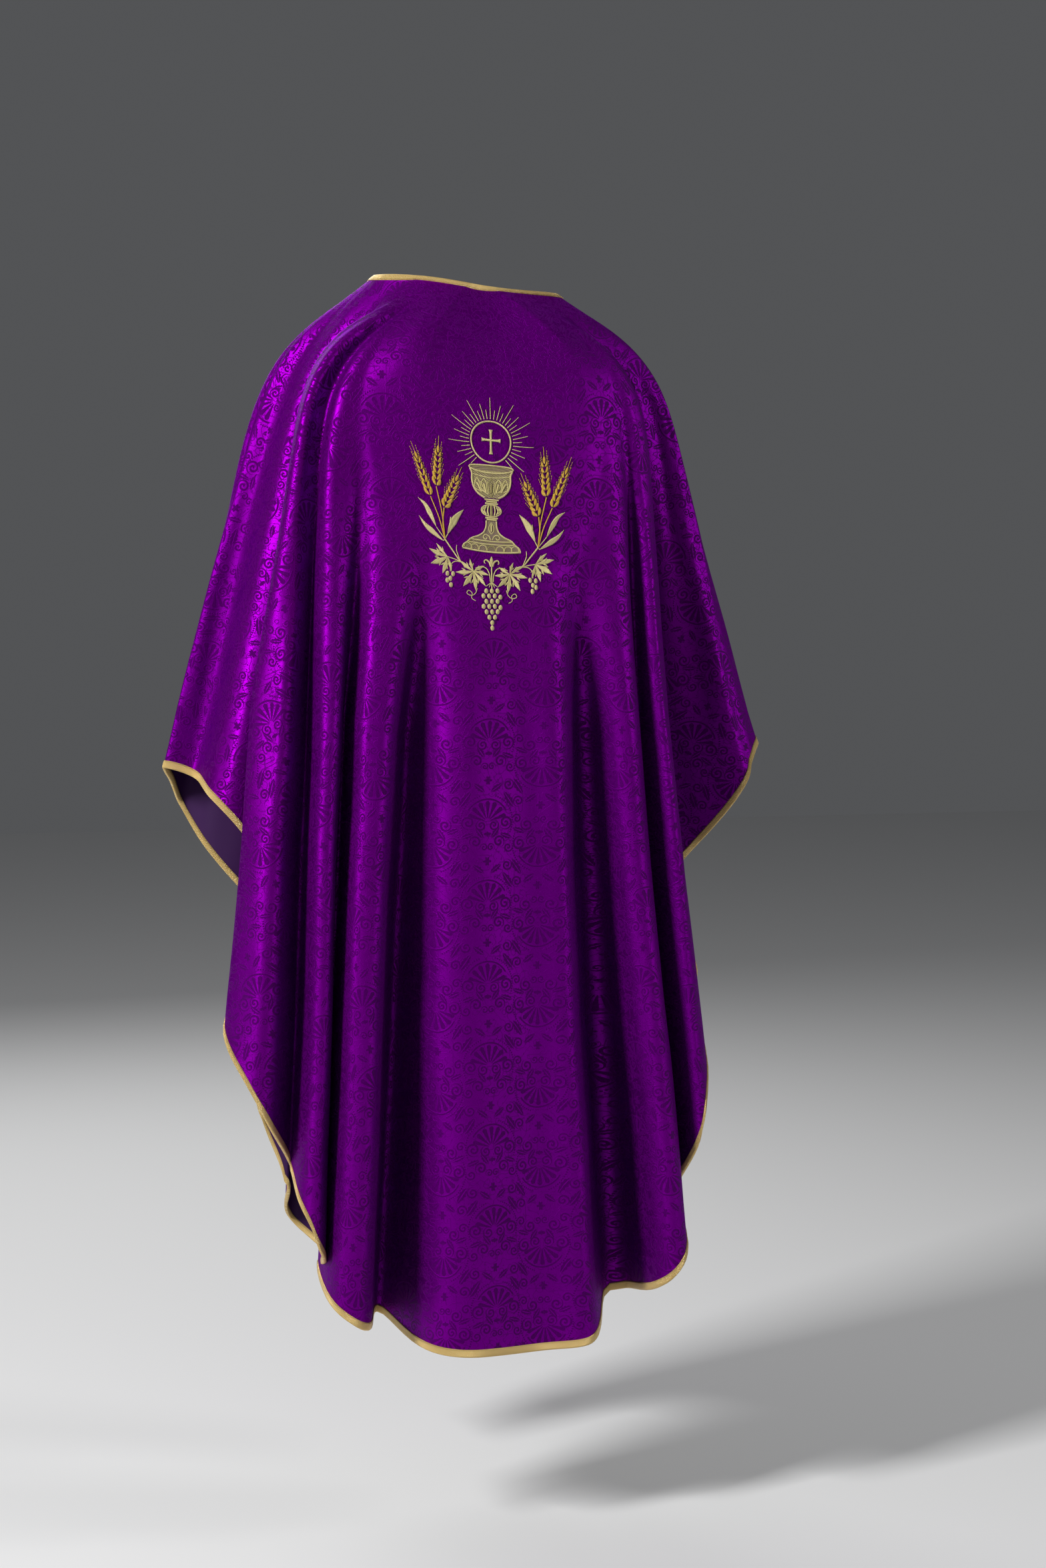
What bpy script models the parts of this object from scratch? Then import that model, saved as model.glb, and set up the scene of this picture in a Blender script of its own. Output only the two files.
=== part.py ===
"""A gothic chasuble as it hangs on a wearer whose arms are down: two damask panels, two lining panels,
a binding round the neck and one round the hem, the shoulder seams, and the embroidery on the back.

Metres, +Z up. The origin is between the shoulders at the height of the neckline. The back faces +Y and
the wearer's left is +X. A point of the cloth is named by a line that runs down it from the neckline to
the hem (an angle: 0 to the left sleeve's tip, 90 down the centre back, 180 to the right tip and 270
down the centre front) and by the distance run along that line.
"""

import math

import bmesh
import bpy
import numpy as np
from mathutils import Vector
from mathutils.bvhtree import BVHTree

# The flat pattern.
HALF_WIDTH = 0.785  # centre of the neck to the left sleeve's tip
RIGHT_SHORTER = 0.040  # how much less cloth hangs over the right arm
BACK_LENGTH = 1.388  # centre of the neck to the back hem
FRONT_LENGTH = 1.290
HEM_POWER = 2.7  # roundness of the hem's outline, 2 is an ellipse
NECK_HALF_WIDTH = 0.115
NECK_BACK = 0.065
NECK_FRONT = 0.105

# How it hangs.
REFERENCE = 0.60  # distance down the cloth at which FOLDS gives the cloth's place in plan
SHOULDER_LENGTH = 0.155  # how far the cloth lies on the shoulder before it turns down
SHOULDER_ROUNDNESS = 0.034
FLATTEST = 0.88  # the most that the cloth runs outward on the shoulder, per metre of its length
FLARE_BACK = 0.015
FLARE_SIDE = 0.205
FOLD_START = 0.05  # distance down the cloth at which the folds begin
PANEL_DELAY = 0.31  # how much lower they begin at the centre of the back and of the front
PANEL_SPREAD = 23.0  # degrees either side of the centre that stay flat for longer
FOLD_GROWTH = 0.38  # how much deeper the folds get below the reference
SPREAD_LEFT = 0.04  # widening below the reference, for each metre
SPREAD_RIGHT = 0.22
HULL_SMOOTHING = 15.0  # degrees
HULL_WIDEN = 1.06
HULL_DEEPEN = 1.12
NECK_RISE = 0.004
NECK_TILT = 0.010
FRONT_DROP = 0.075
FRONT_FLATTER = 0.86
FRONT_SETBACK = 0.012

# Angle on the pattern in degrees, then x and y in plan, for each ridge, valley and turn of the back.
FOLDS = [
    (0, 0.326, -0.020), (8, 0.316, 0.046), (16, 0.280, 0.072), (25, 0.226, 0.050), (32, 0.176, 0.048),
    (37, 0.186, 0.076), (43, 0.238, 0.084), (48.5, 0.284, 0.108), (53.5, 0.270, 0.150),
    (57.5, 0.242, 0.144), (60, 0.222, 0.114), (62.5, 0.220, 0.148), (65.5, 0.206, 0.172),
    (69, 0.186, 0.148), (71, 0.178, 0.120), (73, 0.172, 0.160), (75.5, 0.154, 0.182),
    (78.5, 0.126, 0.166), (81, 0.102, 0.118), (83.5, 0.080, 0.156), (86, 0.055, 0.180),
    (90, 0.008, 0.180), (95, -0.045, 0.174), (100, -0.095, 0.162), (103, -0.120, 0.118),
    (106, -0.140, 0.152), (109, -0.164, 0.172), (112, -0.182, 0.150), (115, -0.188, 0.120),
    (119, -0.202, 0.148), (124, -0.220, 0.144), (129, -0.226, 0.095), (136, -0.176, 0.062),
    (143, -0.202, 0.030), (150, -0.262, 0.032), (158, -0.316, 0.056), (166, -0.345, 0.048),
    (173, -0.358, 0.015),
]

# Cloth and trim.
DAMASK_THICK = 0.0008
LINING_THICK = 0.0005
LAYER_GAP = 0.0014  # between the damask and the lining, which the hidden pieces share
LINING_OFFSET = -(DAMASK_THICK + LAYER_GAP)
CLOTH_INSIDE = LINING_OFFSET - LINING_THICK
HIDDEN_GAP = 0.0005  # damask to what lies behind it
HIDDEN_THICK = 0.0004
BINDING_WIDTH = 0.012
BINDING_THICK = 0.0007
FOLD_THICK = 0.0016  # of the binding at its fold, where the band is doubled
CLEARANCE = 0.0009
EDGE_ROOM = 0.0018  # past the edge of the cloth, inside the binding
MOST_SLANTING = 0.30  # sine of the least angle between the hem and a column of the cloth
SEAM_HALF_GAP = 0.25  # degrees on the pattern
SEAM_ALLOWANCE = 0.007
WIDEST_COLUMN = 6.8  # degrees
ROW_STEPS = (0.06, 0.13, 0.24, 0.37, 0.52, 0.68, 0.84)  # shares of the length from neck to hem
BACKING_ROWS = (3, 5)  # first and last grid row of the sheet behind the stitches
BACKING_HALF_ANGLE = 16.5

# Embroidery.
STITCH_GAP = 0.0012
STITCH_THICK = 0.0009
EMBLEM_CENTRE = 0.225  # centre of the host below the neckline
LONGEST_EDGE = 0.009
HOST_RADIUS = 0.0245
RAY_COUNT = 36

DAMASK = ("purple_damask", (0.105, 0.003, 0.16, 1), 0.45, 0.0)
LINING = ("violet_lining", (0.05, 0.004, 0.11, 1), 0.5, 0.0)
GOLD_BRAID = ("gold_binding", (0.72, 0.50, 0.16, 1), 0.38, 0.8)
GOLD_THREAD = ("gold_thread", (0.62, 0.50, 0.20, 1), 0.42, 0.3)
WHEAT_THREAD = ("wheat_thread", (0.60, 0.36, 0.02, 1), 0.42, 0.3)
BACKING = ("white_backing", (0.75, 0.75, 0.72, 1), 0.9, 0.0)


def spline(knots, values, at, period=360.0):
    """A smooth periodic curve through values at the knots, read at the angles in at."""
    count = len(knots)
    gap = np.diff(np.append(knots, knots[0] + period))
    slope = (np.roll(values, -1) - values) / gap
    matrix = np.zeros((count, count))
    right = np.zeros(count)
    for i in range(count):
        matrix[i, i] = 2 * (gap[i - 1] + gap[i])
        matrix[i, i - 1] += gap[i - 1]
        matrix[i, (i + 1) % count] += gap[i]
        right[i] = 6 * (slope[i] - slope[i - 1])
    bend = np.linalg.solve(matrix, right)
    at = (np.asarray(at, float) - knots[0]) % period + knots[0]
    i = np.searchsorted(knots, at, side="right") - 1
    j = (i + 1) % count
    a = at - knots[i]
    linear = slope[i] - gap[i] * (2 * bend[i] + bend[j]) / 6
    return values[i] + a * (linear + a * (bend[i] / 2 + a * (bend[j] - bend[i]) / (6 * gap[i])))


def fold_loop():
    """The knots all the way round. The front repeats the back turned half round, a little flatter."""
    front = [(t + 180, -x, -y * FRONT_FLATTER - FRONT_SETBACK) for t, x, y in FOLDS]
    return np.array(FOLDS + front, float).T


def neck_radius(angle):
    depth = np.where(np.sin(angle) >= 0, NECK_BACK, NECK_FRONT)
    return 1 / np.hypot(np.cos(angle) / NECK_HALF_WIDTH, np.sin(angle) / depth)


def hem_radius(angle):
    length = np.where(np.sin(angle) >= 0, BACK_LENGTH, FRONT_LENGTH)
    half_width = HALF_WIDTH - np.where(np.cos(angle) < 0, RIGHT_SHORTER, 0)
    across = np.abs(np.cos(angle)) / half_width
    down = np.abs(np.sin(angle)) / length
    return (across**HEM_POWER + down**HEM_POWER) ** (-1 / HEM_POWER)


def hull_plan(degrees):
    """The folded plan curve smoothed to the round outline that the shoulders give it."""
    knots, x, y = fold_loop()
    fine = np.arange(0, 360, 0.5)
    reach = np.arange(-90, 90.1, 0.5)
    weight = np.exp(-0.5 * (reach / HULL_SMOOTHING) ** 2)
    weight /= weight.sum()
    smoothed = []
    for values, factor in ((x, HULL_WIDEN), (y, HULL_DEEPEN)):
        curve = spline(knots, values, fine)
        wrapped = np.concatenate([curve[-180:], curve, curve[:180]])
        smooth = np.convolve(wrapped, weight, mode="valid") * factor
        smoothed.append(np.interp(degrees % 360, np.append(fine, 360), np.append(smooth, smooth[0])))
    return smoothed


def turn_down(s, shoulder):
    """The integral of a step that falls from 1 to 0 where the cloth leaves the shoulder."""
    late = np.log(1 + np.exp((s - shoulder) / SHOULDER_ROUNDNESS))
    start = np.log(1 + np.exp(-shoulder / SHOULDER_ROUNDNESS))
    return s - SHOULDER_ROUNDNESS * (late - start)


def drape(degrees, steps=240):
    """Points of the outer cloth, from the neckline to the hem, along the line at each angle.

    Returns an array (steps + 1, angles, 3), the distance run at each point, and each line's length."""
    degrees = np.asarray(degrees, float)
    angle = np.radians(degrees)
    knots, x, y = fold_loop()
    fold_x, fold_y = spline(knots, x, degrees), spline(knots, y, degrees)
    hull_x, hull_y = hull_plan(degrees)
    start = neck_radius(angle)
    length = hem_radius(angle) - start
    neck_x, neck_y = start * np.cos(angle), start * np.sin(angle)
    reach = np.hypot(hull_x - neck_x, hull_y - neck_y)
    toward_x, toward_y = (hull_x - neck_x) / reach, (hull_y - neck_y) / reach
    flare = FLARE_BACK + FLARE_SIDE * np.abs(np.cos(angle)) ** 3.6
    shoulder = np.maximum(SHOULDER_LENGTH, (reach - flare * REFERENCE) / (FLATTEST - flare))
    slope = (reach - flare * REFERENCE) / turn_down(REFERENCE, shoulder)
    s = np.linspace(0, 1, steps + 1)[:, None] * length
    out = flare * s + slope * turn_down(s, shoulder)
    off_centre = np.minimum(np.abs(degrees % 180 - 90), 90)
    begin = FOLD_START + PANEL_DELAY * np.exp(-((off_centre / PANEL_SPREAD) ** 6))
    fold = np.clip((s - begin) / (REFERENCE - begin), 0, None)
    fold = np.where(fold < 1, fold**1.15, 1 + FOLD_GROWTH * (fold - 1))
    px = neck_x + toward_x * out + (fold_x - hull_x) * fold
    spread = np.where(np.cos(angle) > 0, SPREAD_LEFT, SPREAD_RIGHT)
    px = px * (1 + spread * np.clip(s - REFERENCE, 0, None))
    py = neck_y + toward_y * out + (fold_y - hull_y) * fold
    step = length / steps
    sideways = np.hypot(np.diff(px, axis=0), np.diff(py, axis=0)) / step
    drop = np.sqrt(np.clip(1 - sideways**2, 0.02, 1)) * step
    front = np.sin(angle) < 0
    neck_z = NECK_RISE * np.cos(angle) ** 2 + NECK_TILT * np.cos(angle)
    neck_z = neck_z - np.where(front, FRONT_DROP * np.sin(angle) ** 2, 0)
    pz = neck_z - np.concatenate([np.zeros((1, len(degrees))), np.cumsum(drop, axis=0)])
    return np.stack([px, py, pz], axis=-1), s, length


def columns(first, last):
    """Angles of a panel's columns: the folds' own knots."""
    angles = [first]
    knots = [k for k in fold_loop()[0] if first + 1 < k < last - 1] + [last]
    for knot in knots:
        pieces = math.ceil((knot - angles[-1]) / WIDEST_COLUMN)
        angles += list(np.linspace(angles[-1], knot, pieces + 1)[1:])
    return np.array(angles)


def cloth_grid(degrees):
    """Coarse points of the outer cloth and their outward normals, as arrays (rows, columns, 3)."""
    points, s, length = drape(degrees)
    rows = [np.zeros_like(length), np.full_like(length, BINDING_WIDTH)]
    rows += [share * length for share in ROW_STEPS]
    rows += [length - BINDING_WIDTH, length]
    grid = np.empty((len(rows), len(degrees), 3))
    for c in range(len(degrees)):
        for axis in range(3):
            grid[:, c, axis] = np.interp([row[c] for row in rows], s[:, c], points[:, c, axis])
    return grid


def grid_normals(grid):
    """Outward normals of a grid that closes on itself: each halves the angle between the cloth's two
    sides, so that neighbours never face opposite ways in a deep fold."""
    after = np.cross(np.gradient(grid, axis=0), np.roll(grid, -1, axis=1) - grid)
    after /= np.linalg.norm(after, axis=-1, keepdims=True)
    normal = after + np.roll(after, 1, axis=1)
    return normal / np.linalg.norm(normal, axis=-1, keepdims=True)


def material(look):
    name, color, roughness, metallic = look
    made = bpy.data.materials.get(name)
    if made is None:
        made = bpy.data.materials.new(name)
        made.use_nodes = True
        shader = made.node_tree.nodes["Principled BSDF"]
        shader.inputs["Base Color"].default_value = color
        shader.inputs["Roughness"].default_value = roughness
        shader.inputs["Metallic"].default_value = metallic
        made.diffuse_color = color
    return made


def add_object(name, points, faces, look, collection, smooth=True):
    mesh = bpy.data.meshes.new(name)
    mesh.from_pydata([tuple(p) for p in points], [], [tuple(f) for f in faces])
    mesh.update()
    if smooth:
        mesh.shade_smooth()
    made = bpy.data.objects.new(name, mesh)
    made.data.materials.append(material(look))
    collection.objects.link(made)
    return made


def layered_sheet(name, grid, normals, outer, inner, look, collection):
    """A closed sheet between two offsets from the outer cloth, with its four edges closed."""
    rows, count = grid.shape[:2]
    top = (grid + normals * outer).reshape(-1, 3)
    bottom = (grid + normals * inner).reshape(-1, 3)
    below = rows * count
    faces = []
    for r in range(rows - 1):
        for c in range(count - 1):
            a, b = r * count + c, r * count + c + 1
            d, e = a + count, b + count
            faces.append((a, d, e))
            faces.append((a, e, b))
            faces.append((below + a, below + e, below + d))
            faces.append((below + a, below + b, below + e))
    edge = [c for c in range(count)]
    edge += [r * count + count - 1 for r in range(1, rows)]
    edge += [(rows - 1) * count + c for c in range(count - 2, -1, -1)]
    edge += [r * count for r in range(rows - 2, 0, -1)]
    for a, b in zip(edge, edge[1:] + edge[:1]):
        faces.append((a, b, below + b, below + a))
    return add_object(name, np.concatenate([top, bottom]), faces, look, collection)


def folded_binding(name, edge, inset, normals_edge, normals_inset, look, collection):
    """A strip folded over the cloth's edge: a channel in section, carried once round. Where the edge runs
    at a slant to the cloth's columns, the fold goes farther past it, so that it clears the edge."""
    count = len(edge)
    past = edge - inset
    past /= np.linalg.norm(past, axis=1, keepdims=True)
    along = np.roll(edge, -1, axis=0) - edge
    along /= np.linalg.norm(along, axis=1, keepdims=True)
    slant = np.linalg.norm([np.cross(past, along), np.cross(past, np.roll(along, 1, axis=0))], axis=2)
    past /= np.maximum(slant.min(axis=0), MOST_SLANTING)[:, None]
    profile = []
    outer_skin = (CLEARANCE + BINDING_THICK, EDGE_ROOM + FOLD_THICK)
    inner_skin = (CLEARANCE, EDGE_ROOM)
    for lift, reach in (outer_skin, inner_skin):
        low = CLOTH_INSIDE - lift
        profile.append([
            inset + normals_inset * lift,
            edge + normals_edge * lift + past * reach,
            edge + normals_edge * low + past * reach,
            inset + normals_inset * low,
        ])
    section = profile[0] + profile[1][::-1]
    points = np.concatenate(section)
    sides = len(section)
    upward = (2, 5, 6)  # the sides whose quads are cut the other way, so that the two skins stay parallel
    faces = []
    for k in range(sides):
        for c in range(count):
            d = (c + 1) % count
            a, b = k * count + c, k * count + d
            e, f = ((k + 1) % sides) * count + d, ((k + 1) % sides) * count + c
            if k in upward:
                faces += [(a, f, b), (b, f, e)]
            else:
                faces += [(a, f, e), (a, e, b)]
    return add_object(name, points, faces, look, collection)


def facing_out(obj):
    """Turns the faces so that they point out of the closed mesh."""
    mesh = bmesh.new()
    mesh.from_mesh(obj.data)
    bmesh.ops.recalc_face_normals(mesh, faces=mesh.faces)
    if mesh.calc_volume(signed=True) < 0:
        bmesh.ops.reverse_faces(mesh, faces=mesh.faces)
    mesh.to_mesh(obj.data)
    mesh.free()


class Cloth:
    """The back panel's outer face, on which the embroidery lies."""

    def __init__(self, grid, normals):
        rows, count = grid.shape[:2]
        self.points = [Vector(p) for p in grid.reshape(-1, 3)]
        self.normals = [Vector(n) for n in normals.reshape(-1, 3)]
        self.faces = []
        for r in range(rows - 1):
            for c in range(count - 1):
                a, b = r * count + c, r * count + c + 1
                self.faces.append((a, a + count, b + count))
                self.faces.append((a, b + count, b))
        self.tree = BVHTree.FromPolygons(self.points, self.faces)
        self.degrees = np.arange(116.0, 63.9, -0.5)
        self.run = np.arange(0.10, 0.60, 0.01)
        points, s, _ = drape(self.degrees)
        centre = list(self.degrees).index(90.0)
        self.width = []
        for run in self.run:
            row = [[np.interp(run, s[:, c], points[:, c, axis]) for axis in range(3)]
                   for c in range(len(self.degrees))]
            along = np.append(0, np.cumsum(np.linalg.norm(np.diff(row, axis=0), axis=1)))
            self.width.append(along - along[centre])

    def place(self, across, down):
        """The point and normal of a place on the back: metres of cloth across from the centre back to
        the wearer's left, and down from the neckline."""
        row = int(np.searchsorted(self.run, down))
        angles = np.interp(across, self.width[row], self.degrees)
        points, s, _ = drape([angles], steps=120)
        near = [float(np.interp(down, s[:, 0], points[:, 0, axis])) for axis in range(3)]
        spot, _, index, _ = self.tree.find_nearest(Vector(near))
        a, b, c = self.faces[index]
        ab, ac, ap = (Vector(v) - self.points[a] for v in (self.points[b], self.points[c], spot))
        whole = ab.cross(ac)
        share_b = ap.cross(ac).dot(whole) / whole.length_squared
        share_c = ab.cross(ap).dot(whole) / whole.length_squared
        normal = self.normals[a] * (1 - share_b - share_c)
        return spot, normal + self.normals[b] * share_b + self.normals[c] * share_c


def stitched(name, outline_faces, cloth, look, collection, lift=STITCH_GAP, thick=STITCH_THICK):
    """A flat shape (2D points and faces about the host's centre) laid on the cloth as one solid."""
    flat_points, faces = outline_faces
    shape = bmesh.new()
    verts = [shape.verts.new((u, v, 0)) for u, v in flat_points]
    for face in faces:
        shape.faces.new([verts[i] for i in face])
    bmesh.ops.triangulate(shape, faces=shape.faces)
    for _ in range(4):
        long_edges = [e for e in shape.edges if e.calc_length() > LONGEST_EDGE]
        if not long_edges:
            break
        bmesh.ops.subdivide_edges(shape, edges=long_edges, cuts=1)
        bmesh.ops.triangulate(shape, faces=shape.faces)
    spots = [cloth.place(-v.co.x, EMBLEM_CENTRE - v.co.y) for v in shape.verts]
    below = len(spots)
    points = [spot + normal * lift for spot, normal in spots]
    points += [spot + normal * (lift + thick) for spot, normal in spots]
    shape.verts.index_update()
    solid = [tuple(v.index for v in f.verts) for f in shape.faces]
    solid += [tuple(v.index + below for v in reversed(f.verts)) for f in shape.faces]
    for edge in shape.edges:
        if edge.is_boundary:
            a, b = (v.index for v in edge.verts)
            solid.append((a, b, b + below, a + below))
    shape.free()
    facing_out(add_object(name, points, solid, look, collection, smooth=False))


def ribbon(path, width_at, samples=12):
    """A strip along a smooth line through the path's points, of half width width_at(0 to 1)."""
    knots = np.linspace(0, 1, len(path))
    t = np.linspace(0, 1, samples)
    u = np.array(path, float)
    line = np.stack([smooth_line(knots, u[:, 0], t), smooth_line(knots, u[:, 1], t)], axis=1)
    along = np.gradient(line, axis=0)
    along /= np.linalg.norm(along, axis=1, keepdims=True)
    side = np.stack([-along[:, 1], along[:, 0]], axis=1)
    half = np.array([width_at(x) for x in t])[:, None]
    points = np.concatenate([line + side * half, line - side * half])
    faces = [(i, i + 1, samples + i + 1, samples + i) for i in range(samples - 1)]
    return points, faces


def smooth_line(knots, values, at):
    """A curve through the values that keeps the slope between each point's neighbours."""
    slope = np.gradient(values, knots)
    i = np.clip(np.searchsorted(knots, at, side="right") - 1, 0, len(knots) - 2)
    span = knots[i + 1] - knots[i]
    t = (at - knots[i]) / span
    start = (1 + 2 * t) * (1 - t) ** 2 * values[i] + t * (1 - t) ** 2 * slope[i] * span
    return start + t**2 * (3 - 2 * t) * values[i + 1] + t**2 * (t - 1) * slope[i + 1] * span


def annulus(inner, outer, count):
    """A flat ring. inner and outer give the radius at each of its corners."""
    points = []
    for radius in (inner, outer):
        for i in range(count):
            a = 2 * math.pi * i / count
            points.append((radius(i) * math.sin(a), radius(i) * math.cos(a)))
    faces = [(i, (i + 1) % count, count + (i + 1) % count, count + i) for i in range(count)]
    return points, faces


def polygon(points):
    return points, [tuple(range(len(points)))]


def mirrored(half):
    """An outline from its right half, listed top to bottom, about the line u = 0."""
    return polygon(half + [(-u, v) for u, v in reversed(half)])


def cross_outline(reach, half):
    corner = [(half, reach), (half, half), (reach, half)]
    points = []
    for quarter in range(4):
        c, s = (1, 0, -1, 0)[quarter], (0, 1, 0, -1)[quarter]
        for u, v in corner:
            points.append((c * u + s * v, -s * u + c * v))
    return polygon(points)


def vine_leaf(u, v, size, lean):
    """A leaf of five pointed lobes."""
    points = []
    for i in range(10):
        a = lean + math.pi * (0.22 + 1.56 * i / 9)
        radius = size * (1.0 if i % 2 == 0 else 0.52)
        points.append((u + radius * math.sin(a), v + radius * math.cos(a)))
    points.append((u, v + size * 0.25))
    return polygon(points)


def grape_bunch(u, v, half_width, length):
    """The outline of a hanging bunch, widest near its top."""
    points = []
    for i in range(14):
        a = 2 * math.pi * i / 14
        drop = (1 - math.cos(a)) / 2
        swell = math.sin(a) * (1 - 0.55 * drop) * half_width * 1.25
        points.append((u + swell, v - drop * length))
    return polygon(points)


def host(cloth, parts):
    ring = annulus(lambda i: HOST_RADIUS - 0.0010, lambda i: HOST_RADIUS + 0.0010, 40)
    stitched("host_ring", ring, cloth, GOLD_THREAD, parts)
    stitched("host_cross", cross_outline(0.014, 0.0016), cloth, GOLD_THREAD, parts)

    def tip(i):
        if i % 2:
            return HOST_RADIUS + 0.0052
        return HOST_RADIUS + (0.027 if i % 4 else 0.017)

    def root(i):
        return HOST_RADIUS + 0.0030

    corners = RAY_COUNT * 2
    points, faces = annulus(root, tip, corners)
    gap = [i for i in range(corners) if abs(i - corners // 2) <= 8]
    faces = [f for f in faces if f[0] not in gap]
    used = sorted({i for f in faces for i in f})
    faces = [tuple(used.index(i) for i in f) for f in faces]
    stitched("host_rays", ([points[i] for i in used], faces), cloth, GOLD_THREAD, parts)


def chalice(cloth, parts):
    cup = [(0.0265, -0.0325), (0.0250, -0.0440), (0.0225, -0.0540), (0.0175, -0.0620), (0.0100, -0.0665)]
    stitched("chalice_cup", mirrored(cup), cloth, GOLD_THREAD, parts)
    knop = [(0.0060, -0.0685), (0.0072, -0.0735), (0.0122, -0.0790), (0.0122, -0.0840), (0.0070, -0.0890)]
    stitched("chalice_knop", mirrored(knop), cloth, GOLD_THREAD, parts)
    foot = [(0.0062, -0.0905), (0.0075, -0.1040), (0.0150, -0.1170), (0.0290, -0.1240), (0.0350, -0.1300)]
    stitched("chalice_foot", mirrored(foot), cloth, GOLD_THREAD, parts)


def wheat(side, name, cloth, parts):
    """Three ears on their stems and three leaves. side is -1 for the left of the back view."""
    ears = (
        ("outer", ((-0.0955, -0.040), (-0.078, -0.082), (-0.064, -0.122))),
        ("middle", ((-0.0655, -0.017), (-0.0675, -0.070), (-0.0590, -0.121))),
        ("inner", ((-0.0405, -0.042), (-0.0545, -0.086), (-0.0545, -0.122))),
    )

    def ear_width(t):
        return 0.0008 + 0.0042 * math.exp(-(((t - 0.26) / 0.17) ** 2))

    for which, path in ears:
        points = [(side * -u, v) for u, v in path]
        stitched(f"wheat_ear_{name}_{which}", ribbon(points, ear_width), cloth, WHEAT_THREAD, parts)
    leaves = (
        ("outer", ((-0.0940, -0.092), (-0.0860, -0.104), (-0.0715, -0.117))),
        ("lower", ((-0.0930, -0.112), (-0.0800, -0.124), (-0.0630, -0.1290))),
        ("inner", ((-0.0345, -0.086), (-0.0420, -0.102), (-0.0490, -0.122))),
    )

    def leaf_width(t):
        return 0.0005 + 0.0034 * math.sin(math.pi * min(1.0, t * 1.05)) ** 0.8 if t < 0.95 else 0.0006

    for which, path in leaves:
        points = [(side * -u, v) for u, v in path]
        stitched(f"wheat_leaf_{name}_{which}", ribbon(points, leaf_width), cloth, GOLD_THREAD, parts)


def vine(cloth, parts):
    stem = ((-0.0600, -0.1345), (-0.0380, -0.1400), (0.0, -0.1640), (0.0380, -0.1400), (0.0600, -0.1345))
    stitched("vine_stem", ribbon(stem, lambda t: 0.0009, 16), cloth, GOLD_THREAD, parts)
    fleur = [(0.0, -0.1365), (0.0030, -0.1430), (0.0095, -0.1420), (0.0060, -0.1500), (0.0022, -0.1560)]
    stitched("vine_fleur", polygon(fleur + [(-u, v) for u, v in reversed(fleur[1:])]), cloth,
             GOLD_THREAD, parts)
    for side, name in ((-1, "left"), (1, "right")):
        stitched(f"vine_leaf_{name}_outer", vine_leaf(side * 0.0690, -0.1500, 0.0135, 0.0), cloth,
                 GOLD_THREAD, parts)
        stitched(f"vine_leaf_{name}_inner", vine_leaf(side * 0.0270, -0.1690, 0.0150, 0.0), cloth,
                 GOLD_THREAD, parts)
        stitched(f"grape_bunch_{name}", grape_bunch(side * 0.0500, -0.1660, 0.0050, 0.0220), cloth,
                 GOLD_THREAD, parts)
        curl = [(side * u, v) for u, v in ((0.0180, -0.1865), (0.0250, -0.1900), (0.0300, -0.1870),
                                           (0.0330, -0.1920))]
        stitched(f"vine_tendril_{name}", ribbon(curl, lambda t: 0.0006, 10), cloth, GOLD_THREAD, parts)
    stitched("grape_bunch_centre", grape_bunch(0.0, -0.1780, 0.0130, 0.0500), cloth, GOLD_THREAD, parts)


def backing(grid, normals, angles, parts):
    """The soft sheet behind the stitches, between the damask and the lining."""
    held = [i for i, angle in enumerate(angles) if abs(angle - 90) < BACKING_HALF_ANGLE]
    part = (slice(BACKING_ROWS[0], BACKING_ROWS[1] + 1), slice(held[0], held[-1] + 1))
    deep = DAMASK_THICK + HIDDEN_GAP
    facing_out(layered_sheet("embroidery_backing", grid[part], normals[part], -deep,
                             -deep - HIDDEN_THICK, BACKING, parts))


def with_seam_columns(grid):
    """Adds a column inside each side edge of a panel, where the seam's pressed allowance ends."""
    added = []
    for at_seam, within in ((grid[:, 0], grid[:, 1]), (grid[:, -1], grid[:, -2])):
        run = np.linalg.norm(within - at_seam, axis=1, keepdims=True)
        share = np.minimum(SEAM_ALLOWANCE / run, 0.6)
        added.append((at_seam * (1 - share) + within * share)[:, None])
    return np.concatenate([grid[:, :1], added[0], grid[:, 1:-1], added[1], grid[:, -1:]], axis=1)


def shoulder_seam(name, strip, normals, parts):
    """The pressed-open allowance of a shoulder seam, from the neck binding to the hem binding."""
    deep = DAMASK_THICK + HIDDEN_GAP
    facing_out(layered_sheet(name, strip, normals, -deep, -deep - HIDDEN_THICK, DAMASK, parts))


def panels(parts):
    """Both halves of the cloth in their two layers, and the bindings over their edges."""
    back = columns(SEAM_HALF_GAP, 180 - SEAM_HALF_GAP)
    front = columns(180 + SEAM_HALF_GAP, 360 - SEAM_HALF_GAP)
    back_grid = with_seam_columns(cloth_grid(back))
    grid = np.concatenate([back_grid, with_seam_columns(cloth_grid(front))], axis=1)
    normals = grid_normals(grid)
    middle = back_grid.shape[1]
    halves = (("back", slice(0, middle)), ("front", slice(middle, grid.shape[1])))
    for name, part in halves:
        sheet = (grid[:, part], normals[:, part])
        facing_out(layered_sheet(f"{name}_panel", *sheet, 0.0, -DAMASK_THICK, DAMASK, parts))
        facing_out(layered_sheet(f"{name}_lining", *sheet, LINING_OFFSET, CLOTH_INSIDE, LINING, parts))
    edges = (("neck_binding", 0, 1), ("hem_binding", -1, -2))
    for name, edge, inset in edges:
        made = folded_binding(name, grid[edge], grid[inset], normals[edge], normals[inset],
                              GOLD_BRAID, parts)
        facing_out(made)
    backing(grid[:, 1:], normals[:, 1:], back, parts)
    for name, place in (("left", 0), ("right", middle)):
        beside = [(place + step) % grid.shape[1] for step in (-2, -1, 0, 1)]
        shoulder_seam(f"shoulder_seam_{name}", grid[2:-2, beside], normals[2:-2, beside], parts)
    return Cloth(grid[:, :middle], normals[:, :middle])


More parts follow.
